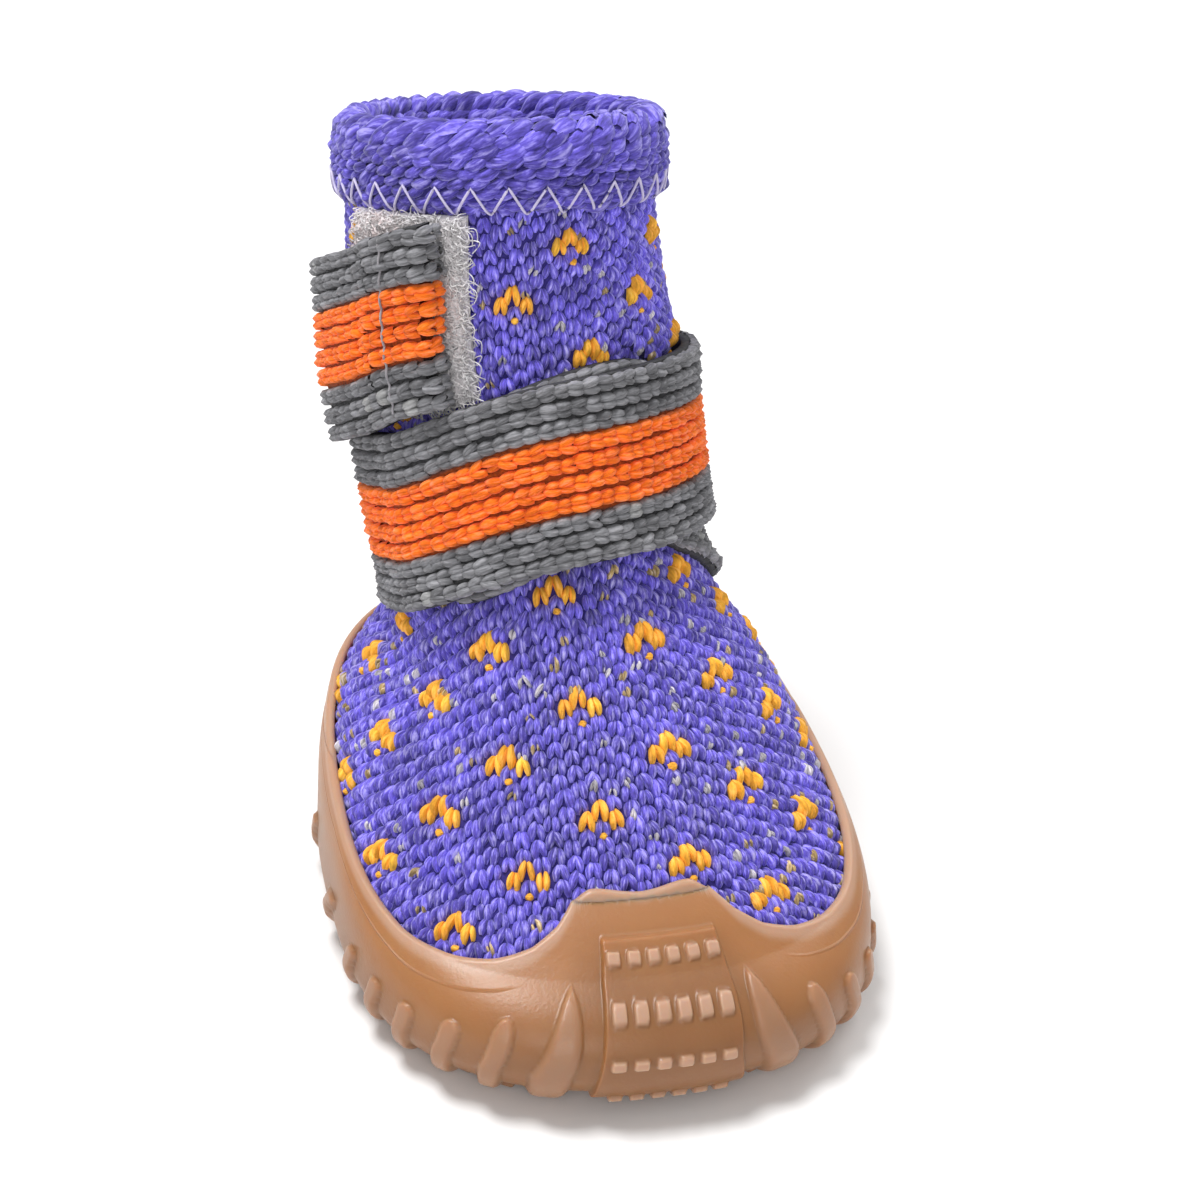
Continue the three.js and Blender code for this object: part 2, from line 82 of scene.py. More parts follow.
PATCH_HEIGHT = 26
PATCH_ANGLE = -50
COLLAR_HEIGHT = 9.5
COLLAR_SWELL = 1.8
COLLAR_TOP = 1.9

# Sections of the last from the footbed to the collar, one row each
SECTION_COLUMNS = ["front", "frontUp", "back", "backUp", "ball", "ankle", "lean", "wide", "square"]
SECTIONS = dict(zip(SECTION_COLUMNS, np.array([
    [-0.465, 0.00, 0.465, 0.00, 0.454, 0.00, 0.00, 0.42, 2.45],
    [-0.459, 0.25, 0.475, 0.27, 0.468, 0.00, 0.00, 0.42, 2.45],
    [-0.432, 0.50, 0.478, 0.54, 0.470, 0.00, 0.00, 0.42, 2.45],
    [-0.380, 0.73, 0.480, 0.80, 0.464, 0.00, 0.00, 0.43, 2.40],
    [-0.315, 0.97, 0.482, 1.01, 0.448, 0.00, 0.00, 0.44, 2.35],
    [-0.245, 1.07, 0.484, 1.06, 0.420, 0.00, 0.06, 0.45, 2.25],
    [-0.166, 1.17, 0.489, 1.11, 0.375, 0.00, 0.18, 0.46, 2.15],
    [-0.085, 1.28, 0.497, 1.16, 0.190, 0.22, 0.35, 0.47, 2.10],
    [-0.012, 1.38, 0.511, 1.22, 0.000, 0.50, 0.55, 0.48, 2.05],
    [0.044, 1.51, 0.542, 1.32, 0.000, 0.49, 0.70, 0.48, 2.05],
    [0.092, 1.63, 0.584, 1.44, 0.000, 0.50, 0.82, 0.48, 2.05],
    [0.123, 1.75, 0.632, 1.56, 0.000, 0.52, 0.92, 0.48, 2.05],
    [0.145, 1.89, 0.674, 1.69, 0.000, 0.505, 1.00, 0.48, 2.05],
    [0.163, 2.00, 0.695, 1.80, 0.000, 0.50, 1.00, 0.48, 2.05],
]).T))
TOP_SECTION = 13
STRAP_SECTION = 9
SECTION_STEP = 0.42
FOLD = 2 / SECTIONS["square"][0]  # how square the sole's outline is

# Courses: angle from the toe, then a height or a level
RIM_COURSE = np.array([
    [0, TOE_RIM - 0.5], [9, TOE_RIM + 0.1], [13, TOE_RIM - 1.2], [17, (TOE_RIM + LOW_RIM) / 2 + 0.4],
    [23, LOW_RIM + 2], [32, LOW_RIM + 0.7], [CROWN_END, LOW_RIM], [62, LOW_RIM + 0.4], [90, SIDE_RIM],
    [122, HEEL_RIM], [180, HEEL_RIM],
])
LONG_COURSE = np.array([
    [-174, -0.45], [-140, -0.47], [-104, -0.37], [-60, -0.26], [-12, 0.00], [31, 0.08], [76, 0.09],
    [110, 0.10], [150, 0.19], [180, 0.30], [215, 0.46], [256, 0.57], [290, 0.71], [323, 0.90],
])
SHORT_COURSE = np.array([
    [-44, -0.19], [0, 0.05], [31, 0.10], [50, -0.02], [76, -0.24], [110, -0.53], [140, -0.53], [174, -0.45],
])
RIBS = [
    # angle, width, top as a share of the wall, and how many degrees the top leans to the toe
    (22, 5.6, 0.71, 6),
    (35, 3.2, 0.74, 5),
    (47, 3.2, 0.68, 4),
    (59, 3.2, 0.61, 3),
    (70, 3.0, 0.55, 3),
    (81, 3.0, 0.50, 3),
    (93, 2.8, 0.47, 3),
    (108, 2.8, 0.44, 3),
]
RIB_BOTTOM = 0.10
BROAD_RIB = 4  # wider ribs narrow all the way up
# The toe panel from its bottom edge up: share of the wall, and half width as a share of PAD_WIDTH
PAD_SHAPE = np.array([(0.06, 0.59), (0.32, 0.52), (0.58, 0.5), (0.84, 0.465)])
STUD_ROWS = [0.125, 0.385, 0.585, 0.745]
# Lugs under the sole: place along it and half spread, as shares of its length and width, and how many
LUG_ROWS = [(-0.36, 0.13, 2), (-0.24, 0.27, 3), (-0.12, 0.31, 3), (0.0, 0.31, 3), (0.12, 0.30, 3),
            (0.24, 0.27, 3), (0.36, 0.12, 2)]
LUG_SIZE = (9.0, 6.5)
RIB_LUG_SIZE = (7.0, 5.0)
RIB_LUG_INSET = 2.9


def mix(a, b, t):
    return a + (b - a) * t


def ease(start, end, x):
    t = np.clip((x - start) / (end - start), 0, 1)
    return t * t * (3 - 2 * t)


def power(x, p):
    return np.sign(x) * np.abs(x) ** p


def unit(v):
    return v / np.maximum(np.linalg.norm(v, axis=-1, keepdims=True), 1e-9)


def length_along(points):
    """Length along each row of points, from 0 at its start."""
    steps = np.linalg.norm(np.diff(points, axis=-2), axis=-1)
    start = np.zeros((*steps.shape[:-1], 1))
    return np.concatenate([start, np.cumsum(steps, axis=-1)], axis=-1)


def bisect(low, high, is_under):
    """The places between low and high where is_under turns from true to false."""
    for _ in range(22):
        middle = (low + high) / 2
        under = is_under(middle)
        low = np.where(under, middle, low)
        high = np.where(under, high, middle)
    return low


def column(values, at):
    """A table's column at places between its rows, smoothly, and straight on past its ends."""
    last = len(values) - 1
    at = np.asarray(at, float)
    row = np.clip(np.floor(at).astype(int), 0, last - 1)
    t = at - row
    start = values[row]
    end = values[row + 1]
    leave = (end - values[np.clip(row - 1, 0, last)]) / 2
    arrive = (values[np.clip(row + 2, 0, last)] - start) / 2
    rise = end - start
    inside = start + leave * t + (3 * rise - 2 * leave - arrive) * t**2 + (leave + arrive - 2 * rise) * t**3
    below = values[0] + at * (values[1] - values[0])
    above = values[-1] + (at - last) * (values[-1] - values[-2])
    return np.where(at < 0, below, np.where(at > last, above, inside))


def course(table, angle):
    angle = np.asarray(angle, float)
    row = np.clip(np.searchsorted(table[:, 0], angle) - 1, 0, len(table) - 2)
    span = table[row + 1, 0] - table[row, 0]
    return column(table[:, 1], row + np.clip((angle - table[row, 0]) / span, 0, 1))


def wrap(angle):
    return angle - 360 * np.round(angle / 360)


def rim_height(angle):
    return course(RIM_COURSE, np.abs(wrap(angle)))


def spring(y):
    return TOE_SPRING * ease(0.28, 0.5, -y / SOLE_LENGTH)


def last_point(at, angle):
    """The knit's outer face at a place up the sections and an angle round from the toe."""
    at, angle = np.broadcast_arrays(np.asarray(at, float), np.asarray(angle, float))
    turn = np.cos(np.radians(angle))
    side = np.sin(np.radians(angle))
    front = column(SECTIONS["front"], at) * SOLE_LENGTH
    back = column(SECTIONS["back"], at) * SOLE_LENGTH
    # The strap draws the ankle in along its own slanting course
    level = STRAP_WIDTH * (-0.2 + 0.2 * turn + 0.22 * side)
    drawn = ease(4.5, 6.5, at) * (1 - ease(10, 12.5, at))
    width_at = at - drawn * level / (STRAP_WIDTH * SECTION_STEP)
    half = column(SECTIONS["ball"], width_at) * SOLE_WIDTH + column(SECTIONS["ankle"], width_at) * ANKLE_WIDTH
    fold = 2 / column(SECTIONS["square"], at)
    middle = mix(front, back, column(SECTIONS["wide"], at))
    y = middle - power(turn, fold) * np.where(turn > 0, middle - front, back - middle)
    x = half * power(side, fold) - SIDE_LEAN * column(SECTIONS["lean"], at)
    front_up = column(SECTIONS["frontUp"], at)
    back_up = column(SECTIONS["backUp"], at)
    shaft = BOOT_HEIGHT - FOOTBED - CUP_HEIGHT

    def height(up):
        return np.minimum(up, 1) * CUP_HEIGHT + np.maximum(up - 1, 0) * shaft

    along = (y - front) / (back - front)
    up = mix(front_up, back_up, along)
    z = mix(height(front_up), height(back_up), along)
    return np.stack([x, y, FOOTBED + GAP + z + spring(y) * np.maximum(1 - up, 0)], -1)


def shell_normal(at, angle):
    at, angle = np.broadcast_arrays(np.asarray(at, float), np.asarray(angle, float))
    up = last_point(at + 0.02, angle) - last_point(at - 0.02, angle)
    along = last_point(at, angle + 0.5) - last_point(at, angle - 0.5)
    normal = unit(np.cross(along, up))
    normal[..., 2] *= ease(0, 2, at)
    return unit(normal)


def shell_point(at, angle, out):
    """A point out from the knit's outer face. out is one distance, or one for each place."""
    out = np.broadcast_to(np.asarray(out, float), np.broadcast_shapes(np.shape(at), np.shape(angle)))
    return last_point(at, angle) + shell_normal(at, angle) * out[..., None]


# Length up the last along each angle, as a table that climb reads both ways
ARC_STEP = 0.04
ARC_ANGLES = np.linspace(-180, 180, 361)
ARC_PLACES = np.arange(-0.4, 15.0, ARC_STEP)
ARC = length_along(last_point(ARC_PLACES[None, :], ARC_ANGLES[:, None]))


def arc(at, angle):
    a = (wrap(np.asarray(angle, float)) + 180) / 360 * (len(ARC_ANGLES) - 1)
    p = np.clip((np.asarray(at, float) - ARC_PLACES[0]) / ARC_STEP, 0, len(ARC_PLACES) - 1.001)
    i = np.clip(a.astype(int), 0, len(ARC_ANGLES) - 2)
    j = p.astype(int)
    low = mix(ARC[i, j], ARC[i, j + 1], p - j)
    high = mix(ARC[i + 1, j], ARC[i + 1, j + 1], p - j)
    return mix(low, high, a - i)


def climb(at, angle, length):
    """The place reached by climbing a length up the last from a section, at one angle."""
    at, angle, length = np.broadcast_arrays(*(np.asarray(v, float) for v in (at, angle, length)))
    target = arc(at, angle) + length
    low = np.full(target.shape, ARC_PLACES[0])
    high = np.full(target.shape, ARC_PLACES[-1] - 0.05)
    return bisect(low, high, lambda place: arc(place, angle) < target)


def place_at_height(height, angle):
    height, angle = np.broadcast_arrays(np.asarray(height, float), np.asarray(angle, float))
    low = np.zeros(angle.shape)
    high = np.full(angle.shape, float(TOP_SECTION))
    return bisect(low, high, lambda place: last_point(place, angle)[..., 2] < height)


def above_strap_section(at, angle):
    return arc(at, angle) - arc(np.full(np.shape(at), float(STRAP_SECTION)), angle)


def new_piece(name, node, points, faces, *materials):
    """A piece that takes over from a node of the frame: the node is hidden and the piece hangs from the root.
    """
    mesh = bpy.data.meshes.new(name)
    points = np.ascontiguousarray(points, np.float32).reshape(-1, 3) * 0.001
    faces = np.ascontiguousarray(faces, np.int32)
    mesh.vertices.add(len(points))
    mesh.vertices.foreach_set("co", points.ravel())
    corners = faces.shape[1]
    mesh.loops.add(faces.size)
    mesh.loops.foreach_set("vertex_index", faces.ravel())
    mesh.polygons.add(len(faces))
    mesh.polygons.foreach_set("loop_start", np.arange(0, faces.size, corners, dtype=np.int32))
    mesh.polygons.foreach_set("loop_total", np.full(len(faces), corners, np.int32))
    mesh.polygons.foreach_set("use_smooth", np.full(len(faces), True))
    mesh.update(calc_edges=True)
    obj = bpy.data.objects.new(name, mesh)
    bpy.context.scene.collection.objects.link(obj)
    for material in materials:
        mesh.materials.append(material)
    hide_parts(node)
    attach(obj, "root")
    return obj


def colour_layer(obj, name, values):
    layer = obj.data.color_attributes.new(name, "FLOAT_COLOR", "POINT")
    full = np.ones((len(obj.data.vertices), 4), np.float32)
    full[:, :3] = values.reshape(-1, 3)
    layer.data.foreach_set("color", full.ravel())


def number_layer(obj, name, values, kind="FLOAT", field="value"):
    layer = obj.data.attributes.new(name, kind, "POINT")
    layer.data.foreach_set(field, np.ascontiguousarray(values, np.float32).ravel())


def grid_faces(rows, columns, around=False, ring=False):
    """Quads of a grid of points. around joins the last row to the first, ring the last column to the first."""
    i = np.arange(rows if around else rows - 1)
    j = np.arange(columns if ring else columns - 1)
    i, j = np.meshgrid(i, j, indexing="ij")
    next_i = (i + 1) % rows
    next_j = (j + 1) % columns
    faces = [i * columns + j, next_i * columns + j, next_i * columns + next_j, i * columns + next_j]
    return np.stack(faces, -1).reshape(-1, 4)


# Leaf of yarn: a plump half tube along a bent centre line, for stitches of every kind
LEAF_RINGS = 6
LEAF_SIDES = 4
LEAF_TURN = 100  # degrees from its crest to each long edge
LEAF_FACES = grid_faces(LEAF_RINGS + 1, LEAF_SIDES + 1)


def leaf(start, end, bow, width, height, tip=0.35):
    """Points of one leaf in its own frame, and its (across, along) coordinates."""
    t = np.linspace(0, 1, LEAF_RINGS + 1)[:, None]
    phi = np.linspace(-LEAF_TURN, LEAF_TURN, LEAF_SIDES + 1)[None, :]
    start = np.array(start, float)
    along = np.array(end, float) - start
    side = np.array([along[1], -along[0]]) / np.linalg.norm(along)
    bulge = 4 * t * (1 - t)
    swell = tip + (1 - tip) * np.sin(np.pi * np.clip(t, 0.02, 0.98)) ** 0.6
    centre = start + along * t[..., None] + side * bow * bulge[..., None]
    across = np.sin(np.radians(phi)) * swell * width / 2
    xy = centre + side * across[..., None]
    lift = np.cos(np.radians(phi)) * swell * height
    z = lift + height * 0.35 * (np.sin(np.pi * t) - 1)
    points = np.concatenate([xy, z[..., None]], -1).reshape(-1, 3)
    grain = np.stack(np.broadcast_arrays((phi + LEAF_TURN) / (2 * LEAF_TURN), t), -1).reshape(-1, 2)
    return points, grain


def inverted_v(foot, top, length, thick, height):
    """Two leaves that lean together at the top. foot and top are their distances from the middle."""
    leaves = []
    for side in (-1, 1):
        start = (side * foot, -length * 0.5)
        end = (side * top, length * 0.5)
        leaves.append(leaf(start, end, side * 0.12, thick, height))
    return leaves


def scatter(name, node, leaves, place, axes, tint, material, size=None, jitter=0.0):
    """Copies of leaves at places, joined in one piece. axes are each copy's right, up and out directions."""
    count = len(place)
    size = np.ones(count) if size is None else size
    right, up, out = axes
    blocks = []
    tints = []
    grains = []
    for points, grain in leaves:
        wobble = rng.normal(0, jitter, (count, 1, 3))
        local = points[None] * size[:, None, None] * (1 + rng.normal(0, jitter, (count, 1, 1)))
        turn = rng.normal(0, jitter * 1.6, (count, 1))
        x = local[..., 0] * np.cos(turn) - local[..., 1] * np.sin(turn)
        y = local[..., 0] * np.sin(turn) + local[..., 1] * np.cos(turn)
        world = place[:, None] + x[..., None] * right[:, None] + y[..., None] * up[:, None]
        blocks.append(world + local[..., 2:] * out[:, None] + wobble * 0.6)
        shade = tint * (1 + rng.normal(0, 0.06, (count, 1)))
        tints.append(np.repeat(shade[:, None], points.shape[0], axis=1))
        own = rng.uniform(0, 50, (count, 1, 1)) * np.ones((1, points.shape[0], 1))
        grains.append(np.concatenate([np.repeat(grain[None], count, 0), own], -1))
    points = np.stack(blocks, 1)
    per_leaf = points.shape[2]
    total = points.shape[0] * points.shape[1]
    faces = (np.arange(total)[:, None, None] * per_leaf + LEAF_FACES[None]).reshape(-1, 4)
    obj = new_piece(name, node, points, faces, material)
    colour_layer(obj, "tint", np.clip(np.stack(tints, 1), 0, 1))
    number_layer(obj, "grain", np.stack(grains, 1), "FLOAT_VECTOR", "vector")


def tube(paths, radius, sides=5):
    """Points and faces of round threads along paths, an array of (threads, points, 3)."""
    tangent = unit(np.gradient(paths, axis=1))
    helper = np.where(np.abs(tangent[..., 2:]) > 0.8, np.array([1.0, 0, 0]), np.array([0, 0, 1.0]))
    first = unit(np.cross(tangent, helper))
    second = np.cross(tangent, first)
    phi = np.linspace(0, 2 * np.pi, sides, endpoint=False)
    ring = first[:, :, None] * np.cos(phi)[:, None] + second[:, :, None] * np.sin(phi)[:, None]
    points = paths[:, :, None] + ring * radius
    count, length = paths.shape[:2]
    one = grid_faces(length, sides, ring=True)
    faces = (np.arange(count)[:, None, None] * length * sides + one[None]).reshape(-1, 4)
    return points, faces


# Materials


def shader(name, roughness, **sockets):
    mat = bpy.data.materials.new(name)
    mat.use_nodes = True
    tree = mat.node_tree
    bsdf = tree.nodes["Principled BSDF"]
    bsdf.inputs["Roughness"].default_value = roughness
    for key, value in sockets.items():
        bsdf.inputs[key.replace("_", " ")].default_value = value
    return mat, tree, bsdf


def node(tree, kind, **values):
    made = tree.nodes.new(kind)
    for key, value in values.items():
        if key in made.inputs:
            made.inputs[key].default_value = value
        else:
            setattr(made, key, value)
    return made


def attribute(tree, name, output="Fac"):
    return node(tree, "ShaderNodeAttribute", attribute_name=name).outputs[output]


def maths(tree, operation, a, b):
    made = node(tree, "ShaderNodeMath", operation=operation)
    for socket, value in zip(made.inputs, (a, b)):
        if isinstance(value, (int, float)):
            socket.default_value = value
        else:
            tree.links.new(value, socket)
    return made.outputs[0]


def multiply_colour(tree, colour, factor):
    made = node(tree, "ShaderNodeVectorMath", operation="SCALE")
    tree.links.new(colour, made.inputs[0])
    tree.links.new(factor, made.inputs["Scale"])
    return made.outputs[0]


def mix_colour(tree, factor, a, b):
    made = node(tree, "ShaderNodeMix", data_type="RGBA")
    for socket, value in ((made.inputs[0], factor), (made.inputs[6], a), (made.inputs[7], b)):
        if isinstance(value, tuple):
            socket.default_value = (*value, 1)
        else:
            tree.links.new(value, socket)
    return made.outputs[2]


def noise(tree, scale, detail=2.0, coordinate=None, roughness=0.5):
    made = node(tree, "ShaderNodeTexNoise", Scale=scale, Detail=detail, Roughness=roughness)
    if coordinate is None:
        coordinate = node(tree, "ShaderNodeTexCoord").outputs["Object"]
    tree.links.new(coordinate, made.inputs["Vector"])
    return made.outputs[0]


def remap(tree, value, low, high, out_low, out_high):
    made = node(tree, "ShaderNodeMapRange")
    for index, number in enumerate((low, high, out_low, out_high)):
        made.inputs[index + 1].default_value = number
    tree.links.new(value, made.inputs[0])
    return made.outputs[0]


def bump(tree, bsdf, height, strength, distance):
    made = node(tree, "ShaderNodeBump", Strength=strength, Distance=distance)
    tree.links.new(height, made.inputs["Height"])
    tree.links.new(made.outputs[0], bsdf.inputs["Normal"])


def tinted(tree, bsdf, value, low, high):
    """Colours a surface by its tint layer, made darker and lighter by a noise."""
    shade = remap(tree, value, 0.3, 0.7, low, high)
    colour = multiply_colour(tree, attribute(tree, "tint", "Color"), shade)
    tree.links.new(colour, bsdf.inputs["Base Color"])


def yarn(name, streaks, contrast, painted_fibre_highlight, sheen=0.35, sheen_colour=(0.8, 0.8, 1.0)):
    """Spun yarn: the tint of each stitch, with fine fibres along it, some of them painted paler as painted
    highlight.
    """
    mat, tree, bsdf = shader(name, 0.8, Sheen_Weight=sheen, Sheen_Roughness=0.45,
                             Sheen_Tint=(*sheen_colour, 1), Specular_IOR_Level=0.25)
    stretch = node(tree, "ShaderNodeMapping", Scale=(streaks, 1.6, 1.0))
    tree.links.new(attribute(tree, "grain", "Vector"), stretch.inputs["Vector"])
    fibres = noise(tree, 1.0, 3.0, stretch.outputs[0], 0.6)
    shade = remap(tree, fibres, 0.32, 0.68, 1 - contrast, 1 + contrast)
    colour = multiply_colour(tree, attribute(tree, "tint", "Color"), shade)
    # Painted highlight: the paler fibres are mixed towards a near white
    pale = remap(tree, fibres, 0.5, 0.72, 0.0, painted_fibre_highlight)
    tree.links.new(mix_colour(tree, pale, colour, (0.85, 0.82, 0.88)), bsdf.inputs["Base Color"])
    bump(tree, bsdf, fibres, 0.7, 0.0005)
    return mat


def plain_cloth(name, colour, dark, scale, roughness=0.9):
    mat, tree, bsdf = shader(name, roughness, Sheen_Weight=0.2)
    grain = noise(tree, scale, 4.0)
    tree.links.new(mix_colour(tree, grain, dark, colour), bsdf.inputs["Base Color"])
    bump(tree, bsdf, grain, 0.6, 0.0005)
    return mat


VIOLET = np.array([0.135, 0.10, 0.60])
YELLOW = np.array([1.0, 0.46, 0.045])
PALE = np.array([0.62, 0.58, 0.62])
TAN = np.array([0.55, 0.38, 0.15])
GREY = np.array([0.17, 0.17, 0.18])
PALE_GREY = np.array([0.31, 0.31, 0.31])
ORANGE = np.array([1.0, 0.175, 0.006])
FUZZ = np.array([0.95, 0.92, 0.93])
FUZZ_RED = np.array([0.8, 0.4, 0.35])

knit_yarn = yarn("knit_yarn", streaks=6.0, contrast=0.55, painted_fibre_highlight=0.46)
collar_yarn = yarn("collar_yarn", streaks=5.0, contrast=0.6, painted_fibre_highlight=0.3)
gold_yarn = yarn("gold_yarn", streaks=5.0, contrast=0.35, painted_fibre_highlight=0.1, sheen=0.1, sheen_colour=(1.0, 0.8, 0.5))
strap_yarn = yarn("strap_yarn", streaks=6.0, contrast=0.3, painted_fibre_highlight=0.14, sheen=0.15, sheen_colour=(1, 1, 1))
# Painted shade: the dark ground shows as the shade in the gaps between the stitches and the collar's loops
knit_ground_painted_shade = plain_cloth("knit_ground_painted_shade", (0.04, 0.026, 0.24), (0.014, 0.009, 0.11), 2200)
lining_cloth = plain_cloth("lining_cloth", (0.055, 0.045, 0.17), (0.02, 0.016, 0.08), 2600)

# Rubber sole
GROOVE_BELOW = 4.0  # a fine line runs round the wall this far under its rim
GROOVE_HALF = 0.3
# The rounded lip, as how far each ring is above the rim and out from the knit
LIP_RINGS = [(0.2, 1.74), (0.42, 1.63), (0.6, 1.45), (0.74, 1.2), (0.78, 0.95), (0.68, 0.7), (0.4, 0.5)]


def rubber_material():
    """Gum rubber, darker far below the rim as painted shade, and paler where its highlight layer says so, as
    painted highlight.
    """
    mat, tree, bsdf = shader("rubber_gum", 0.38, Subsurface_Weight=0.6, Subsurface_Scale=0.0035,
                             Specular_IOR_Level=0.5, Subsurface_Radius=(1.0, 0.5, 0.25))
    cloud = noise(tree, 90, 3.0)
    base = mix_colour(tree, cloud, (0.32, 0.13, 0.042), (0.39, 0.175, 0.062))
    below = attribute(tree, "below")
    # Painted shade: the base colour darkens down the wall and under the sole, far below the rim
    base = multiply_colour(tree, base, remap(tree, below, 5.0, 15.0, 1.0, 0.74))
    # Painted highlight: the colour is mixed towards this paler one where the highlight layer says so
    lighter = mix_colour(tree, attribute(tree, "painted_highlight"), base, (0.47, 0.30, 0.21))
    tree.links.new(lighter, bsdf.inputs["Base Color"])
    off = maths(tree, "ABSOLUTE", maths(tree, "SUBTRACT", below, GROOVE_BELOW), 0)
    line = remap(tree, off, 0.0, GROOVE_HALF, 1.2, 0.0)
    line = maths(tree, "MULTIPLY", line, attribute(tree, "groove"))
    fine = maths(tree, "MULTIPLY", noise(tree, 1900, 3.0), 0.25)
    bump(tree, bsdf, maths(tree, "ADD", fine, line), 0.5, 0.0003)
    return mat


rubber = rubber_material()


def outline(angle, inset, z):
    half = SOLE_WIDTH / 2 - inset
    reach = SOLE_LENGTH / 2 - inset
    middle = mix(-reach, reach, SECTIONS["wide"][0])
    turn = np.cos(np.radians(angle))
    y = middle - power(turn, FOLD) * np.where(turn > 0, middle + reach, reach - middle)
    x = half * power(np.sin(np.radians(angle)), FOLD)
    return np.stack(np.broadcast_arrays(x, y, z + spring(y)), -1)


def wall_point(angle, share):
    """The sole's outer wall from its bottom edge, share 0, round the bulge to the rim, share 1."""
    turn = np.clip(share / BULGE_SHARE, 0, 1) * np.pi / 2
    low = outline(angle, EDGE_INSET * (1 - np.sin(turn)), mix(BULGE_HEIGHT, LUG_DEPTH, np.cos(turn)))
    t = np.clip((share - BULGE_SHARE) / (1 - BULGE_SHARE), 0, 1)
    bulge = outline(angle, 0, BULGE_HEIGHT)
    rim = rim_height(angle)
    without_crown = np.where(np.abs(wrap(angle)) < CROWN_END, LOW_RIM, rim)
    z = mix(bulge[..., 2], rim, t)
    lean = np.clip((z - bulge[..., 2]) / (without_crown - bulge[..., 2]), 0, 1) ** 1.8
    shell = shell_point(place_at_height(z, angle), angle, LIP_THICK)
    high = mix(bulge, shell, lean[..., None])
    high[..., 2] = mix(z, shell[..., 2], lean)
    return np.where((share < BULGE_SHARE)[..., None], low, high)


def rib_form(angle, share, rib_angle, width, top, lean):
    """One rib from 0 to 1, and how far up the rib each place is. Narrow ribs are fingers with round tops."""
    beside = outline(np.array(rib_angle + 1.0), 0, 0) - outline(np.array(rib_angle - 1.0), 0, 0)
    mm_per_degree = np.linalg.norm(beside) / 2
    up = (share - RIB_BOTTOM) / (top - RIB_BOTTOM)
    inside = np.clip(up, 0, 1)
    off = np.abs(np.abs(angle) - (rib_angle - lean * inside)) * mm_per_degree
    if width > BROAD_RIB:
        narrowing = (1 - inside**3.5) ** 0.5
    else:
        narrowing = np.sqrt(1 - np.clip((inside - 0.8) / 0.2, 0, 1) ** 2)
    across = np.clip(off / (width / 2 * narrowing + 0.02), 0, 1)
    return (1 - across**5) * ease(-0.3, -0.15, up) * ease(1.03, 0.97, up), inside


def sole_relief(angle, share, points):
    """Height of the toe panel, its studs and the ribs on the wall, and how much painted highlight makes the
    rubber paler on the studs and ribs.
    """
    # Painted highlight: the studs and ribs are painted paler
    painted_highlight = np.zeros(angle.shape)
    middle = points.shape[0] // 2
    along = length_along(points)
    length = along[middle, -1]
    # Levels are shares of the wall at the toe's middle, so that the panel's edges and rows run straight
    level = np.interp(along, along[middle], share[middle])
    x = SOLE_WIDTH / 2 * power(np.sin(np.radians(angle)), FOLD)
    x = x - 0.9 * ease(0.3, 0.75, share)
    y = level * length
    row = (level - PAD_SHAPE[0, 0]) / (PAD_SHAPE[1, 0] - PAD_SHAPE[0, 0])
    half = column(PAD_SHAPE[:, 1], row) * PAD_WIDTH
    front = ease(90, 60, np.abs(angle))
    panel = ease(0.2, -0.2, np.abs(x) - half) * ease(0.04, 0.08, level) * ease(0.85, 0.82, level) * front
    relief = PAD_THICK * panel
    pitch = (PAD_WIDTH - 2 * STUD_MARGIN - STUD_SIZE) / (STUD_COLUMNS - 1)
    for stud_share in STUD_ROWS:
        for k in range(STUD_COLUMNS):
            dx = np.abs(x - (k - (STUD_COLUMNS - 1) / 2) * pitch)
            dy = np.abs(y - stud_share * length)
            reach = (dx**5 + dy**5) ** 0.2
            stud = ease(STUD_SIZE / 2 + 0.14, STUD_SIZE / 2 - 0.14, reach) * front
            relief += STUD_HEIGHT * STUD_SHOWN * stud
            painted_highlight += 0.85 * stud
    for rib in RIBS:
        body, inside = rib_form(angle, share, *rib)
        relief = np.maximum(relief, RIB_HEIGHT * body * (1 - 0.45 * inside))
        painted_highlight += 0.3 * body
    return relief, painted_highlight


def shrunk(ring, share, height):
    """A ring drawn in towards the middle, at a height above the sprung floor."""
    ring = ring * [share, share, 1]
    ring[:, 2] = height + spring(ring[:, 1])
    return ring


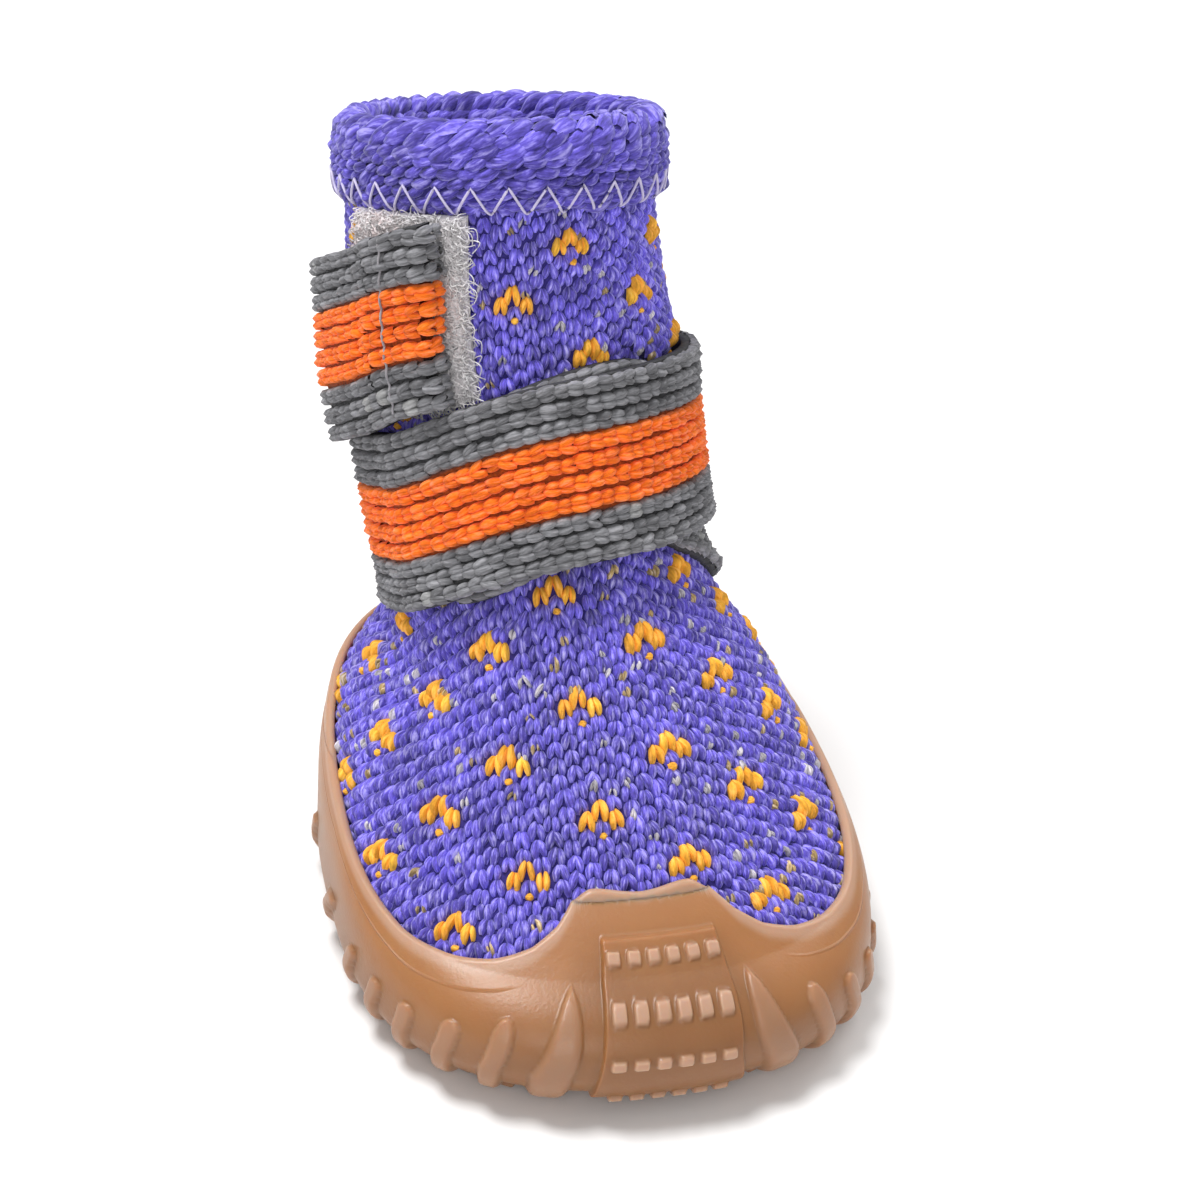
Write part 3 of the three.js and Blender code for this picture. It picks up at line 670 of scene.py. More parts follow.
def make_sole():
    # The toe panel needs the finest steps
    angles = np.sort(wrap(np.concatenate([np.arange(-15, 15, 0.2), np.arange(15, 345, 0.58)])))
    shares = np.concatenate([np.linspace(0, 0.3, 34)[:-1], np.linspace(0.3, 1, 70)])
    share_grid, angle_grid = np.meshgrid(shares, angles)
    wall = wall_point(angle_grid, share_grid)
    relief, painted_highlight = sole_relief(angle_grid, share_grid, wall)
    up = np.gradient(wall, axis=1)
    along = np.roll(wall, -1, axis=0) - np.roll(wall, 1, axis=0)
    wall = wall + unit(np.cross(along, up)) * relief[..., None]
    below = length_along(wall[:, ::-1])[:, ::-1]
    # Painted highlight along the top of the wall, just under the rim
    painted_highlight = painted_highlight + ease(2.4, 0.6, below) * 0.7

    edge = outline(angles, EDGE_INSET, LUG_DEPTH)
    plate = [shrunk(edge, share, LUG_DEPTH) for share in (0.02, 0.3, 0.6, 0.8, 0.93)]
    rim_place = place_at_height(rim_height(angles), angles)
    lip = []
    for rise, out in LIP_RINGS:
        lip.append(shell_point(climb(rim_place, angles, rise), angles, out))
    inside = [shell_point(rim_place * k / 8, angles, CUP_GAP) for k in range(8, -1, -1)]
    bed = shrunk(inside[-1], 1, FOOTBED)
    floor = [shrunk(bed, share, FOOTBED) for share in (1.0, 0.6, 0.3, 0.02)]
    points = np.stack([*plate, *wall.transpose(1, 0, 2), *lip, *inside, *floor], 1)
    wall_rows = slice(len(plate), len(plate) + len(shares))
    pale = np.zeros(points.shape[:2])
    # The layer of painted highlight: the wall's own, and 0.8 on the lip
    pale[:, wall_rows] = painted_highlight
    pale[:, wall_rows.stop:wall_rows.stop + len(lip)] = 0.8
    depth = np.zeros(points.shape[:2])
    # The plate under the sole gets the full painted shade
    depth[:, :len(plate)] = 20.0
    depth[:, wall_rows] = below
    groove = np.repeat(ease(24, 38, np.abs(angles))[:, None], points.shape[1], 1)
    faces = grid_faces(len(angles), points.shape[1], around=True)
    obj = new_piece("sole_rubber", "outsole", points, faces, rubber)
    number_layer(obj, "painted_highlight", np.clip(pale, 0, 1))
    number_layer(obj, "below", depth)
    number_layer(obj, "groove", groove)


def make_lugs():
    blocks = []
    for y, half, count in LUG_ROWS:
        for k in range(count):
            x = mix(-1, 1, k / (count - 1)) * half * SOLE_WIDTH
            blocks.append((x, y * SOLE_LENGTH, 0.0, *LUG_SIZE))
    for side in (-1, 1):
        for rib_angle, *_ in RIBS:
            inner = outline(np.array(side * rib_angle), EDGE_INSET + RIB_LUG_INSET, 0)
            outer = outline(np.array(side * rib_angle), EDGE_INSET, 0)
            turn = math.atan2(outer[1] - inner[1], outer[0] - inner[0])
            blocks.append((inner[0], inner[1], turn, *RIB_LUG_SIZE))
    corners = np.array([[x, y, z] for z in (0, 1) for x, y in ((-1, -1), (1, -1), (1, 1), (-1, 1))], float)
    box_faces = np.array([[0, 3, 2, 1], [4, 5, 6, 7], [0, 1, 5, 4], [1, 2, 6, 5], [2, 3, 7, 6], [3, 0, 4, 7]])
    draft = np.where(corners[:, 2] > 0.5, 1.0, 0.9)
    points = []
    faces = []
    for x, y, turn, long, wide in blocks:
        dx = corners[:, 0] * long / 2 * draft
        dy = corners[:, 1] * wide / 2 * draft
        px = x + dx * math.cos(turn) - dy * math.sin(turn)
        py = y + dx * math.sin(turn) + dy * math.cos(turn)
        pz = float(spring(np.array(y))) + corners[:, 2] * (LUG_DEPTH + 1.0)
        faces.append(box_faces + 8 * len(points))
        points.append(np.stack([px, py, pz], -1))
    obj = new_piece("sole_lugs", "outsole", np.concatenate(points), np.concatenate(faces), rubber)
    soft = obj.modifiers.new("soft_edges", "BEVEL")
    soft.width = 0.0005
    soft.segments = 3
    # The lugs get a little painted highlight all over
    number_layer(obj, "painted_highlight", np.full(len(obj.data.vertices), 0.25))
    # and the full painted shade, as they lie under the sole
    number_layer(obj, "below", np.full(len(obj.data.vertices), 20.0))


make_sole()
make_lugs()

# Insole: share of the outline and height of each ring, on the bottom's outline and then on the top's
INSOLE_BOTTOM = [(0.02, 0), (0.5, 0), (0.97, 0), (1.0, 0.4)]
INSOLE_TOP = [(1.0, 2.3), (0.985, 2.8), (0.95, 3.0), (0.8, 2.9), (0.5, 2.8), (0.2, 2.75), (0.02, 2.75)]


def make_insole():
    angles = np.linspace(-180, 180, 180, endpoint=False)
    edge = shell_point(np.zeros(len(angles)), angles, -KNIT_WALL - CUP_GAP)
    place = place_at_height(FOOTBED + GAP + spring(edge[:, 1]) + INSOLE_THICK, angles)
    top = shell_point(place, angles, -KNIT_WALL - CUP_GAP)
    rows = []
    for outer, profile in ((edge, INSOLE_BOTTOM), (top, INSOLE_TOP)):
        for share, rise in profile:
            ring = shrunk(outer, share, FOOTBED + GAP)
            ring[:, 2] += rise
            rows.append(ring)
    faces = grid_faces(len(angles), len(rows), around=True)
    obj = new_piece("insole_pad", "insole", np.stack(rows, 1), faces, lining_cloth)


make_insole()

# Knit upper: a ground painted dark as the shade between the stitches, with every stitch laid on it. The chart's
# stitches sit in columns, each column half a stitch lower than its neighbours, and a half row holds every
# second column.
# Rows are counted down from the collar.
GROUND_SINK = 0.62
STITCH_SINK = 0.5
FIRST_ROW = 6.0
STITCH_HALF = 1.08
STITCH_WIDE = 2.22
ROW_WIDTHS = ([6, 22, 60], [1.76, 1.98, STITCH_WIDE])  # stitch widths at distances below the top edge
ROW_SHIFTS = ([6, 14, 22, 60], [-4.5, -2.9, -1.4, 0])  # how far the columns have slid to the left
MOST_ROWS = 140
RIM_TUCK = 1.2  # stitches go on this far below the cup's rim
STRAP_TUCK = 2.2  # and this far under a strap
MOTIF_COLUMNS = 10
MOTIF_ROWS = 14  # half rows between figures in a column
# The figure, as (column, half row): one stitch on top and one to each side below it
FIGURE = {(0, 0), (1, 1), (-1, 1)}
SHAFT_ROWS = 38  # half rows of the shaft, whose figures start at a row of their own
SHAFT_FIGURE = (3, 7)
VAMP_FIGURE = (3, 1)
SHAFT_START = 8.5  # the section where the shaft's piece starts
HEEL_START = 75  # degrees from the toe where the heel's piece starts
STITCH = inverted_v(foot=0.66, top=0.24, length=2.45, thick=1.2, height=1.0)
GOLD_STITCH = inverted_v(foot=0.62, top=0.16, length=2.6, thick=0.98, height=1.1)
SPECK = inverted_v(foot=0.34, top=0.12, length=1.6, thick=0.52, height=0.7)
SPECK_SHARE = 0.17  # of the stitches
SWELL_OUT = 2.0
DOT = [leaf((-0.6, 0.0), (0.6, 0.05), 0.1, 1.15, 0.85, tip=0.6)]


def swell(at, angle):
    """How far the knit swells out above the tight strap on the right, in millimetres."""
    here = above_strap_section(at, angle)
    over_long = here - (course(LONG_COURSE, angle) + 0.5) * STRAP_WIDTH
    over_short = here - (course(SHORT_COURSE, angle) + 0.5) * STRAP_WIDTH
    side = ease(8, 45, angle) * ease(160, 115, angle)
    fading = np.exp(-(np.maximum(over_long, 0) / 7) ** 2)
    return SWELL_OUT * side * ease(-3, 1, over_long) * ease(0.3, 2.5, over_short) * fading


def make_upper_ground():
    angles = np.linspace(-180, 180, 150, endpoint=False)
    outer = np.concatenate([[0, 0.5], np.linspace(1, TOP_SECTION - 0.1, 70)])
    inner = np.concatenate([np.linspace(TOP_SECTION - 0.1, 1, 45), [0.4, 0]])
    places = np.concatenate([outer, inner])
    outs = np.concatenate([np.full(len(outer), -GROUND_SINK), np.full(len(inner), -KNIT_WALL)])
    place_grid, angle_grid = np.meshgrid(places, angles)
    outs = outs + swell(place_grid, angle_grid) * (outs > -1)
    points = shell_point(place_grid, angle_grid, outs)
    faces = grid_faces(len(angles), len(places), around=True, ring=True)
    obj = new_piece("upper_ground", "upper", points, faces, knit_ground_painted_shade, lining_cloth)
    inside = (faces[:, 0] % len(places)) >= len(outer)
    obj.data.polygons.foreach_set("material_index", inside.astype(np.int32))


def strap_cover(at, angle):
    """How deep a place lies under either strap, in millimetres from the strap's nearest edge."""
    here = above_strap_section(at, angle)
    deepest = np.full(np.shape(at), -99.0)
    for table in (LONG_COURSE, SHORT_COURSE):
        for lap in (-360, 0, 360):
            reading = angle + lap
            inside = (reading >= table[0, 0] + 2) & (reading <= table[-1, 0] - 2)
            depth = STRAP_WIDTH / 2 - np.abs(here - course(table, reading) * STRAP_WIDTH)
            deepest = np.where(inside, np.maximum(deepest, depth), deepest)
    return deepest


def stitch_rows():
    """Every stitch of the upper: column, half row, angle, place, width and direction to the right."""
    fine = np.linspace(-180, 180, 721)
    middle = len(fine) // 2
    found = []
    length = np.full(fine.shape, FIRST_ROW)
    for half_row in range(MOST_ROWS):
        at = climb(TOP_SECTION, fine, -length)
        curve = last_point(at, fine)
        if np.all(curve[:, 2] < rim_height(fine) - 1.0):
            break
        along = length_along(curve)
        along -= along[middle]
        wide = np.interp(length[middle], *ROW_WIDTHS)
        shift = np.interp(length[middle], *ROW_SHIFTS) + wide / 2
        columns = np.arange(math.ceil((along[0] - shift) / wide), math.floor((along[-1] - shift) / wide) + 1)
        columns = columns[(columns - half_row) % 2 == 0]
        angle = np.interp(columns * wide + shift, along, fine)
        place = climb(TOP_SECTION, angle, -np.interp(angle, fine, length))
        keep = last_point(place, angle)[:, 2] > rim_height(angle) - RIM_TUCK
        keep &= strap_cover(place, angle) < STRAP_TUCK
        across = unit(np.gradient(curve, axis=0))
        right = [np.interp(angle, fine, across[:, k]) for k in range(3)]
        found.append(np.stack([columns, np.full(len(columns), half_row), angle, place,
                               np.full(len(columns), wide), *right], -1)[keep])
        # The next row lies square below this one, also where the shoe's own lines run aslant
        down = unit(last_point(at - 0.05, fine) - last_point(at + 0.05, fine))
        square = np.linalg.norm(np.cross(across, down), axis=-1)
        length = length + STITCH_HALF / np.maximum(square, 0.6)
        ends = np.concatenate([length[-11:-1], length, length[1:11]])
        length = np.convolve(ends, np.full(21, 1 / 21), mode="valid")
    return np.concatenate(found)


def figure_stitches(column, half_row):
    """Which stitches are the tops and sides of the small yellow figures, and which have a figure's dot."""
    yellow, top, dots = np.zeros((3, len(column)), bool)
    side = np.zeros(len(column))
    shaft = half_row < SHAFT_ROWS
    for step in (0, 1):
        from_column = column - np.where(shaft, SHAFT_FIGURE[0], VAMP_FIGURE[0]) + step * MOTIF_COLUMNS // 2
        from_row = half_row - np.where(shaft, SHAFT_FIGURE[1], VAMP_FIGURE[1]) + step * MOTIF_ROWS // 2
        near = (from_column + 2) % MOTIF_COLUMNS - 2
        near_row = (from_row + 3) % MOTIF_ROWS - 3
        for c, r in FIGURE:
            here = (near == c) & (near_row == r)
            yellow |= here
            side[here] = c
        top |= (near == 0) & (near_row == 0)
        dots |= (near == 0) & (near_row == 2)
    return yellow, top, side, dots


def make_stitches():
    rows = stitch_rows()
    column, half_row, angle, at, wide = rows[:, :5].T
    total = len(rows)
    # Each stitch stands square on its own row
    out = shell_normal(at, angle)
    up = unit(np.cross(out, rows[:, 5:]))
    right = np.cross(up, out)
    axes = np.stack([right, up, out])
    point = shell_point(at, angle, swell(at, angle) - STITCH_SINK)
    tint = VIOLET[None] * rng.uniform(0.72, 1.25, (total, 1)) + rng.uniform(0, 0.02, (total, 1))
    size = wide / STITCH_WIDE
    yellow, top, side, dots = figure_stitches(column, half_row)
    tint[yellow] = YELLOW * rng.uniform(0.85, 1.1, (int(yellow.sum()), 1))
    point[yellow] += out[yellow] * 0.25
    point -= right * (side * 0.28)[:, None]
    point[top] += up[top] * 0.25
    size[yellow] *= 1.04
    size[top] *= 1.12
    shaft = at > SHAFT_START
    heel = ~shaft & (np.abs(angle) >= HEEL_START)
    # Painted light: the shaft's stitches are painted 1.2 times lighter, as if lit more brightly
    tint[shaft & ~yellow] *= 1.2
    for name, part, thread, shape in (("knit_shaft", shaft & ~yellow, knit_yarn, STITCH),
                                      ("knit_vamp", ~shaft & ~heel & ~yellow, knit_yarn, STITCH),
                                      ("knit_heel", heel & ~yellow, knit_yarn, STITCH),
                                      ("knit_figures", yellow, gold_yarn, GOLD_STITCH)):
        scatter(name, "upper", shape, point[part], axes[:, part], tint[part], thread, size[part], jitter=0.075)
    # Small pale floats that show between the legs of some stitches, and the dot under each figure
    speck = (rng.uniform(size=total) < SPECK_SHARE) & ~yellow & ~dots
    pale = np.where(rng.uniform(size=(total, 1)) < 0.6, PALE, TAN) * rng.uniform(0.6, 1.1, (total, 1))
    place = point - up * 0.75 + out * 0.28
    scatter("knit_specks", "upper", SPECK, place[speck], axes[:, speck], pale[speck], knit_yarn, size[speck],
            jitter=0.2)
    place = point - up * (STITCH_HALF * 0.9) + out * 0.2
    gold = np.repeat(YELLOW[None], int(dots.sum()), 0)
    scatter("knit_dots", "upper", DOT, place[dots], axes[:, dots], gold, gold_yarn, size[dots], jitter=0.08)


make_upper_ground()
make_stitches()

# Collar: its profile as (up, out) from the lower outer edge over the top to the lower inner edge
COLLAR_PROFILE = np.array([
    (-COLLAR_HEIGHT, GAP),
    (-COLLAR_HEIGHT * 0.9, COLLAR_SWELL * 0.75),
    (-COLLAR_HEIGHT * 0.55, COLLAR_SWELL),
    (-COLLAR_HEIGHT * 0.12, COLLAR_SWELL * 0.9),
    (COLLAR_TOP * 0.75, COLLAR_SWELL * 0.2),
    (COLLAR_TOP, -KNIT_WALL / 2),
    (COLLAR_TOP * 0.75, -KNIT_WALL - COLLAR_SWELL * 0.2),
    (-COLLAR_HEIGHT * 0.12, -KNIT_WALL - COLLAR_SWELL * 0.9),
    (-COLLAR_HEIGHT * 0.55, -KNIT_WALL - COLLAR_SWELL),
    (-COLLAR_HEIGHT * 0.85, -KNIT_WALL - GAP),
])
# Its back, against the knit, from the inner edge over the knit's top to the outer edge
COLLAR_BACK = [(-COLLAR_HEIGHT * 0.8, -KNIT_WALL - GAP), (GAP, -KNIT_WALL - GAP), (GAP, GAP),
               (-COLLAR_HEIGHT * 0.9, GAP)]
COLLAR_SINK = 0.6
COLLAR_ROPES = [
    # share of the profile, pitch, slant, (length, width, height) of a loop, start as a share of the pitch
    (0.35, 3.2, 0.45, (4.4, 2.2, 1.1), 0.0),
    (0.43, 3.4, 0.6, (4.8, 2.5, 1.25), 0.5),
    (0.515, 3.4, 0.75, (5.0, 2.6, 1.3), 0.0),
    (0.60, 3.2, 0.6, (4.6, 2.4, 1.2), 0.5),
    (0.69, 3.0, 0.5, (4.2, 2.2, 1.0), 0.0),
    (0.78, 3.0, 0.5, (4.2, 2.2, 0.9), 0.5),
    (0.87, 3.0, 0.5, (4.2, 2.2, 0.85), 0.0),
]
CUFF_ROWS = 6
CUFF_PITCH = 2.7
CUFF_STITCH = [leaf((-1.5, -0.45), (1.5, 0.45), 0.2, 1.55, 1.0, tip=0.5)]
ZIGZAG_PITCH = 5.0


def profile_at(t):
    """A smooth point of the collar's profile, t from 0 to 1 by length."""
    dense = np.linspace(0, len(COLLAR_PROFILE) - 1, 200)
    smooth = np.stack([column(COLLAR_PROFILE[:, k], dense) for k in (0, 1)], -1)
    length = length_along(smooth)
    return np.stack([np.interp(np.asarray(t) * length[-1], length, smooth[:, k]) for k in (0, 1)], -1)


def collar_point(angle, t, sink=0.0):
    spot = profile_at(t)
    slope = unit(profile_at(np.asarray(t) + 0.01) - profile_at(np.asarray(t) - 0.01))
    up = spot[..., 0] + sink * slope[..., 1]
    out = spot[..., 1] - sink * slope[..., 0]
    return shell_point(climb(TOP_SECTION, angle, up), angle, out)


def collar_frames(angle, t):
    """Points on the collar, and the directions along it, up its profile and out."""
    along = unit(collar_point(angle + 0.7, t) - collar_point(angle - 0.7, t))
    rise = unit(collar_point(angle, t + 0.012) - collar_point(angle, t - 0.012))
    return collar_point(angle, t), np.stack([along, rise, unit(np.cross(along, rise))])


def make_collar():
    angles = np.linspace(-180, 180, 240, endpoint=False)
    share_grid, angle_grid = np.meshgrid(np.linspace(0, 1, 44), angles)
    outer = collar_point(angle_grid, share_grid, sink=0.75)
    back = [shell_point(climb(TOP_SECTION, angles, up), angles, out) for up, out in COLLAR_BACK]
    points = np.concatenate([outer, np.stack(back, 1)], 1)
    faces = grid_faces(len(angles), points.shape[1], around=True, ring=True)
    # Its dark cloth is painted shade between the loops laid on it
    obj = new_piece("collar_pad", "collar", points, faces, knit_ground_painted_shade)

    # Plump slanted loops over the rim, like a rope
    girth = length_along(last_point(TOP_SECTION, np.linspace(-180, 180, 181)))[-1]
    ropes = []
    for t, pitch, slant, size, start in COLLAR_ROPES:
        count = int(girth / pitch)
        angle = (np.arange(count) + start + rng.normal(0, 0.07, count)) / count * 360 - 180
        here, axes = collar_frames(angle, np.full(count, t) + rng.normal(0, 0.006, count))
        ropes.append((here - axes[2] * COLLAR_SINK, axes, slant, size))
    for index, (place, axes, slant, (long, wide, high)) in enumerate(ropes):
        x = long / 2 * math.cos(slant)
        y = long / 2 * math.sin(slant)
        shape = [leaf((-x, -y), (x, y), 0.35, wide, high, tip=0.45)]
        tint = VIOLET[None] * rng.uniform(0.6, 1.0, (len(place), 1))
        scatter(f"collar_rope_{index}", "collar", shape, place, axes, tint, collar_yarn, jitter=0.07)

    # Small tight stitches on the cuff below the rim
    count = int(girth / CUFF_PITCH)
    row, step = np.divmod(np.arange(CUFF_ROWS * count), count)
    angle = (step + 0.5 * (row % 2)) / count * 360 - 180
    here, axes = collar_frames(angle, 0.02 + row * 0.055)
    tint = VIOLET[None] * rng.uniform(0.6, 1.0, (len(here), 1))
    place = here - axes[2] * COLLAR_SINK
    scatter("collar_cuff", "collar", CUFF_STITCH, place, axes, tint, collar_yarn, jitter=0.12)

    # Zigzag of thin pale thread along the lower edge
    steps = 18
    marks = np.arange(int(girth / ZIGZAG_PITCH) * steps + 1)
    phase = np.abs(((marks / steps) % 1) * 2 - 1)
    here, axes = collar_frames(np.linspace(-180, 180, len(marks)), 0.012 + phase * 0.155)
    points, faces = tube((here + axes[2] * 0.3)[None], 0.19)
    thread = plain_cloth("pale_thread", (0.75, 0.7, 0.85), (0.4, 0.35, 0.6), 900)
    new_piece("collar_thread", "collar", points, faces, thread)


make_collar()

# Straps
PATCH_START = (245, 275)  # degrees over which the long strap rises onto the patch
SHORT_END = SHORT_COURSE[0, 0]
STRAP_END = LONG_COURSE[-1, 0]
OVER_SHORT = 2 * GAP + STRAP_THICK
OVER_PATCH = 2 * GAP + PATCH_THICK
HEM_DEGREES = math.degrees(HEM_LENGTH / (ANKLE_WIDTH / 2 + OVER_PATCH + STRAP_THICK))
ORANGE_CORDS = range(3, 7)
LINK_PITCH = 2.05
# A chain link: two halves that part towards the next link
LINK = [leaf((side * 0.2, -1.5), (side * 0.54, 1.2), side * 0.1, 1.28, 1.12, tip=0.5) for side in (-1, 1)]


def long_base(angle):
    stepped = mix(GAP, OVER_SHORT, ease(SHORT_END - 30, SHORT_END - 10, angle))
    return mix(stepped, OVER_PATCH, ease(*PATCH_START, angle))


def long_thick(angle):
    return STRAP_THICK + HEM_THICK * ease(STRAP_END - HEM_DEGREES - 4, STRAP_END - HEM_DEGREES, angle)


def short_base(angle):
    return np.full(np.shape(angle), GAP)


def short_thick(angle):
    return np.full(np.shape(angle), float(STRAP_THICK))


def strap_place(table, angle, across):
    return climb(STRAP_SECTION, angle, course(table, angle) * STRAP_WIDTH + across)


def make_band(name, table, base, thick):
    """The strap's body, with a shallow valley between its cords, coloured darker than the cords as painted
    shade between them.
    """
    first, last = table[0, 0], table[-1, 0]
    angles = np.linspace(first, last, int((last - first) / 1.2))
    across = np.linspace(-STRAP_WIDTH / 2 + 0.15, STRAP_WIDTH / 2 - 0.15, 41)
    across_grid, angle_grid = np.meshgrid(across, angles)
    places = strap_place(table, angle_grid, across_grid)
    valley = 0.5 + 0.5 * np.cos((across_grid / CORD_WIDTH) * 2 * np.pi)
    outer_out = base(angle_grid) + thick(angle_grid) - 1.3 + 0.4 * valley
    outer = shell_point(places, wrap(angle_grid), outer_out)
    inner = shell_point(places, wrap(angle_grid), base(angle_grid) + 0.05)
    points = np.concatenate([inner, outer[:, ::-1]], 1)
    width = points.shape[1]
    caps = []
    for row in (0, len(angles) - 1):
        for j in range(width // 2 - 1):
            quad = [row * width + corner for corner in (j, j + 1, width - 2 - j, width - 1 - j)]
            caps.append(quad if row else quad[::-1])
    faces = np.concatenate([grid_faces(len(angles), width, ring=True), np.array(caps)])
    ground, tree, bsdf = shader(f"{name}_ground", 0.9)
    weave = noise(tree, 1800, 3.0)
    # Painted shade: the noise darkens the band's tint further
    tinted(tree, bsdf, weave, 0.25, 0.7)
    bump(tree, bsdf, weave, 0.6, 0.0004)
    obj = new_piece(f"{name}_band", name, points, faces, ground)
    both = np.concatenate([across, across[::-1]])
    # Painted shade: the band's colours are the cords' own, darkened as the shade between the cords
    colours = np.where((np.abs(both) < 2 * CORD_WIDTH)[:, None], ORANGE * 0.6, GREY * 0.55)
    colour_layer(obj, "tint", np.repeat(colours[None], len(angles), 0))


def cord_path(table, cord, base, thick):
    """One cord's points, tangents and normals. Its end turns down over the strap's edge."""
    first, last = table[0, 0], table[-1, 0]
    fine = np.linspace(first, last, int((last - first) * 2))
    place = strap_place(table, fine, np.full(len(fine), (cord + 0.5 - CORDS / 2) * CORD_WIDTH))
    centre = shell_point(place, wrap(fine), base(fine) + thick(fine) - 0.72)
    normal = shell_normal(place, wrap(fine))
    tangent = unit(np.gradient(centre, axis=0))
    turn = np.radians(np.linspace(15, 150, 10))[:, None]
    radius = 0.5 * thick(last) - 0.2
    bend = centre[-1] + tangent[-1] * np.sin(turn) * radius * 0.8 - normal[-1] * (1 - np.cos(turn)) * radius
    bend_normal = unit(normal[-1] * np.cos(turn) + tangent[-1] * np.sin(turn))
    bend_tangent = unit(tangent[-1] * np.cos(turn) - normal[-1] * np.sin(turn))
    return (np.concatenate([centre, bend]), np.concatenate([tangent, bend_tangent]),
            np.concatenate([normal, bend_normal]))


def link_tints(cord, count):
    if cord in ORANGE_CORDS:
        return ORANGE[None] * rng.uniform(0.85, 1.1, (count, 1))
    tints = np.repeat(GREY[None], count, 0) * rng.uniform(0.75, 1.35, (count, 1))
    tints[rng.uniform(size=count) < 0.03] = PALE_GREY
    return tints


def make_cords(name, table, base, thick):
    places = []
    axes = []
    tints = []
    for cord in range(CORDS):
        path, tangent, normal = cord_path(table, cord, base, thick)
        length = length_along(path)
        marks = np.arange(0.6 + rng.uniform(0, LINK_PITCH), length[-1], LINK_PITCH)
        marks = marks + rng.normal(0, 0.12, len(marks))
        place, along, out = (np.stack([np.interp(marks, length, values[:, k]) for k in range(3)], -1)
                             for values in (path, tangent, normal))
        along = unit(along)
        out = unit(out)
        places.append(place)
        axes.append(np.stack([unit(np.cross(along, out)), along, out]))
        tints.append(link_tints(cord, len(marks)))
    scatter(f"{name}_cords", name, LINK, np.concatenate(places), np.concatenate(axes, 1), np.concatenate(tints),
            strap_yarn, jitter=0.07)


for strap in (("strap_long", LONG_COURSE, long_base, long_thick),
              ("strap_short", SHORT_COURSE, short_base, short_thick)):
    make_band(*strap)
    make_cords(*strap)


def make_hem_thread():
    across = np.linspace(-STRAP_WIDTH / 2 + 1.2, STRAP_WIDTH / 2 - 1.2, 60)
    angle = np.full(len(across), STRAP_END - HEM_DEGREES * 0.6)
    wave = np.abs(np.sin(across / CORD_WIDTH * np.pi)) * 0.35
    out = long_base(angle) + long_thick(angle) - 0.15 + wave
    path = shell_point(strap_place(LONG_COURSE, angle, across), wrap(angle), out)
    points, faces = tube(path[None], 0.17)
    seam = plain_cloth("seam_thread", (0.4, 0.38, 0.4), (0.16, 0.15, 0.17), 900)
    new_piece("hem_thread", "strap_long", points, faces, seam)


make_hem_thread()

# Loop patch
PATCH_HALF = math.degrees(PATCH_WIDTH / 2 / (ANKLE_WIDTH / 2))
PATCH_STEPS = 40
FUZZ_COUNT = 4600
FUZZ_POINTS = 8
FUZZ_SIDES = 3


def patch_edges(angle):
    band_top = climb(STRAP_SECTION, angle, (course(LONG_COURSE, angle) + 0.5) * STRAP_WIDTH + GAP)
    roof = climb(TOP_SECTION, angle, -COLLAR_HEIGHT - GAP)
    return np.maximum(band_top, climb(roof, angle, -PATCH_HEIGHT)), roof


def make_patch_ground():
    angles = PATCH_ANGLE + np.linspace(-PATCH_HALF, PATCH_HALF, PATCH_STEPS)
    floor, roof = patch_edges(angles)
    rows = np.linspace(0, 1, PATCH_STEPS)
    places = floor[:, None] + (roof - floor)[:, None] * rows[None]
    angle_grid = np.repeat(angles[:, None], PATCH_STEPS, 1)
    edge = np.minimum(rows, 1 - rows)
    rim = np.minimum(edge[None] * PATCH_HEIGHT, edge[:, None] * PATCH_WIDTH)
    puff = GAP + PATCH_THICK * 0.35 + (PATCH_THICK * 0.4) * ease(0, 1.2, rim)
    outer = shell_point(places, angle_grid, puff)
    inner = shell_point(places, angle_grid, GAP)
    points = np.concatenate([inner, outer[:, ::-1]], 1)
    faces = grid_faces(PATCH_STEPS, 2 * PATCH_STEPS, ring=True)
    felt = plain_cloth("felt_ground", (0.88, 0.84, 0.85), (0.62, 0.58, 0.6), 1500, roughness=1.0)
    new_piece("patch_ground", "loop_patch", points, faces, felt)


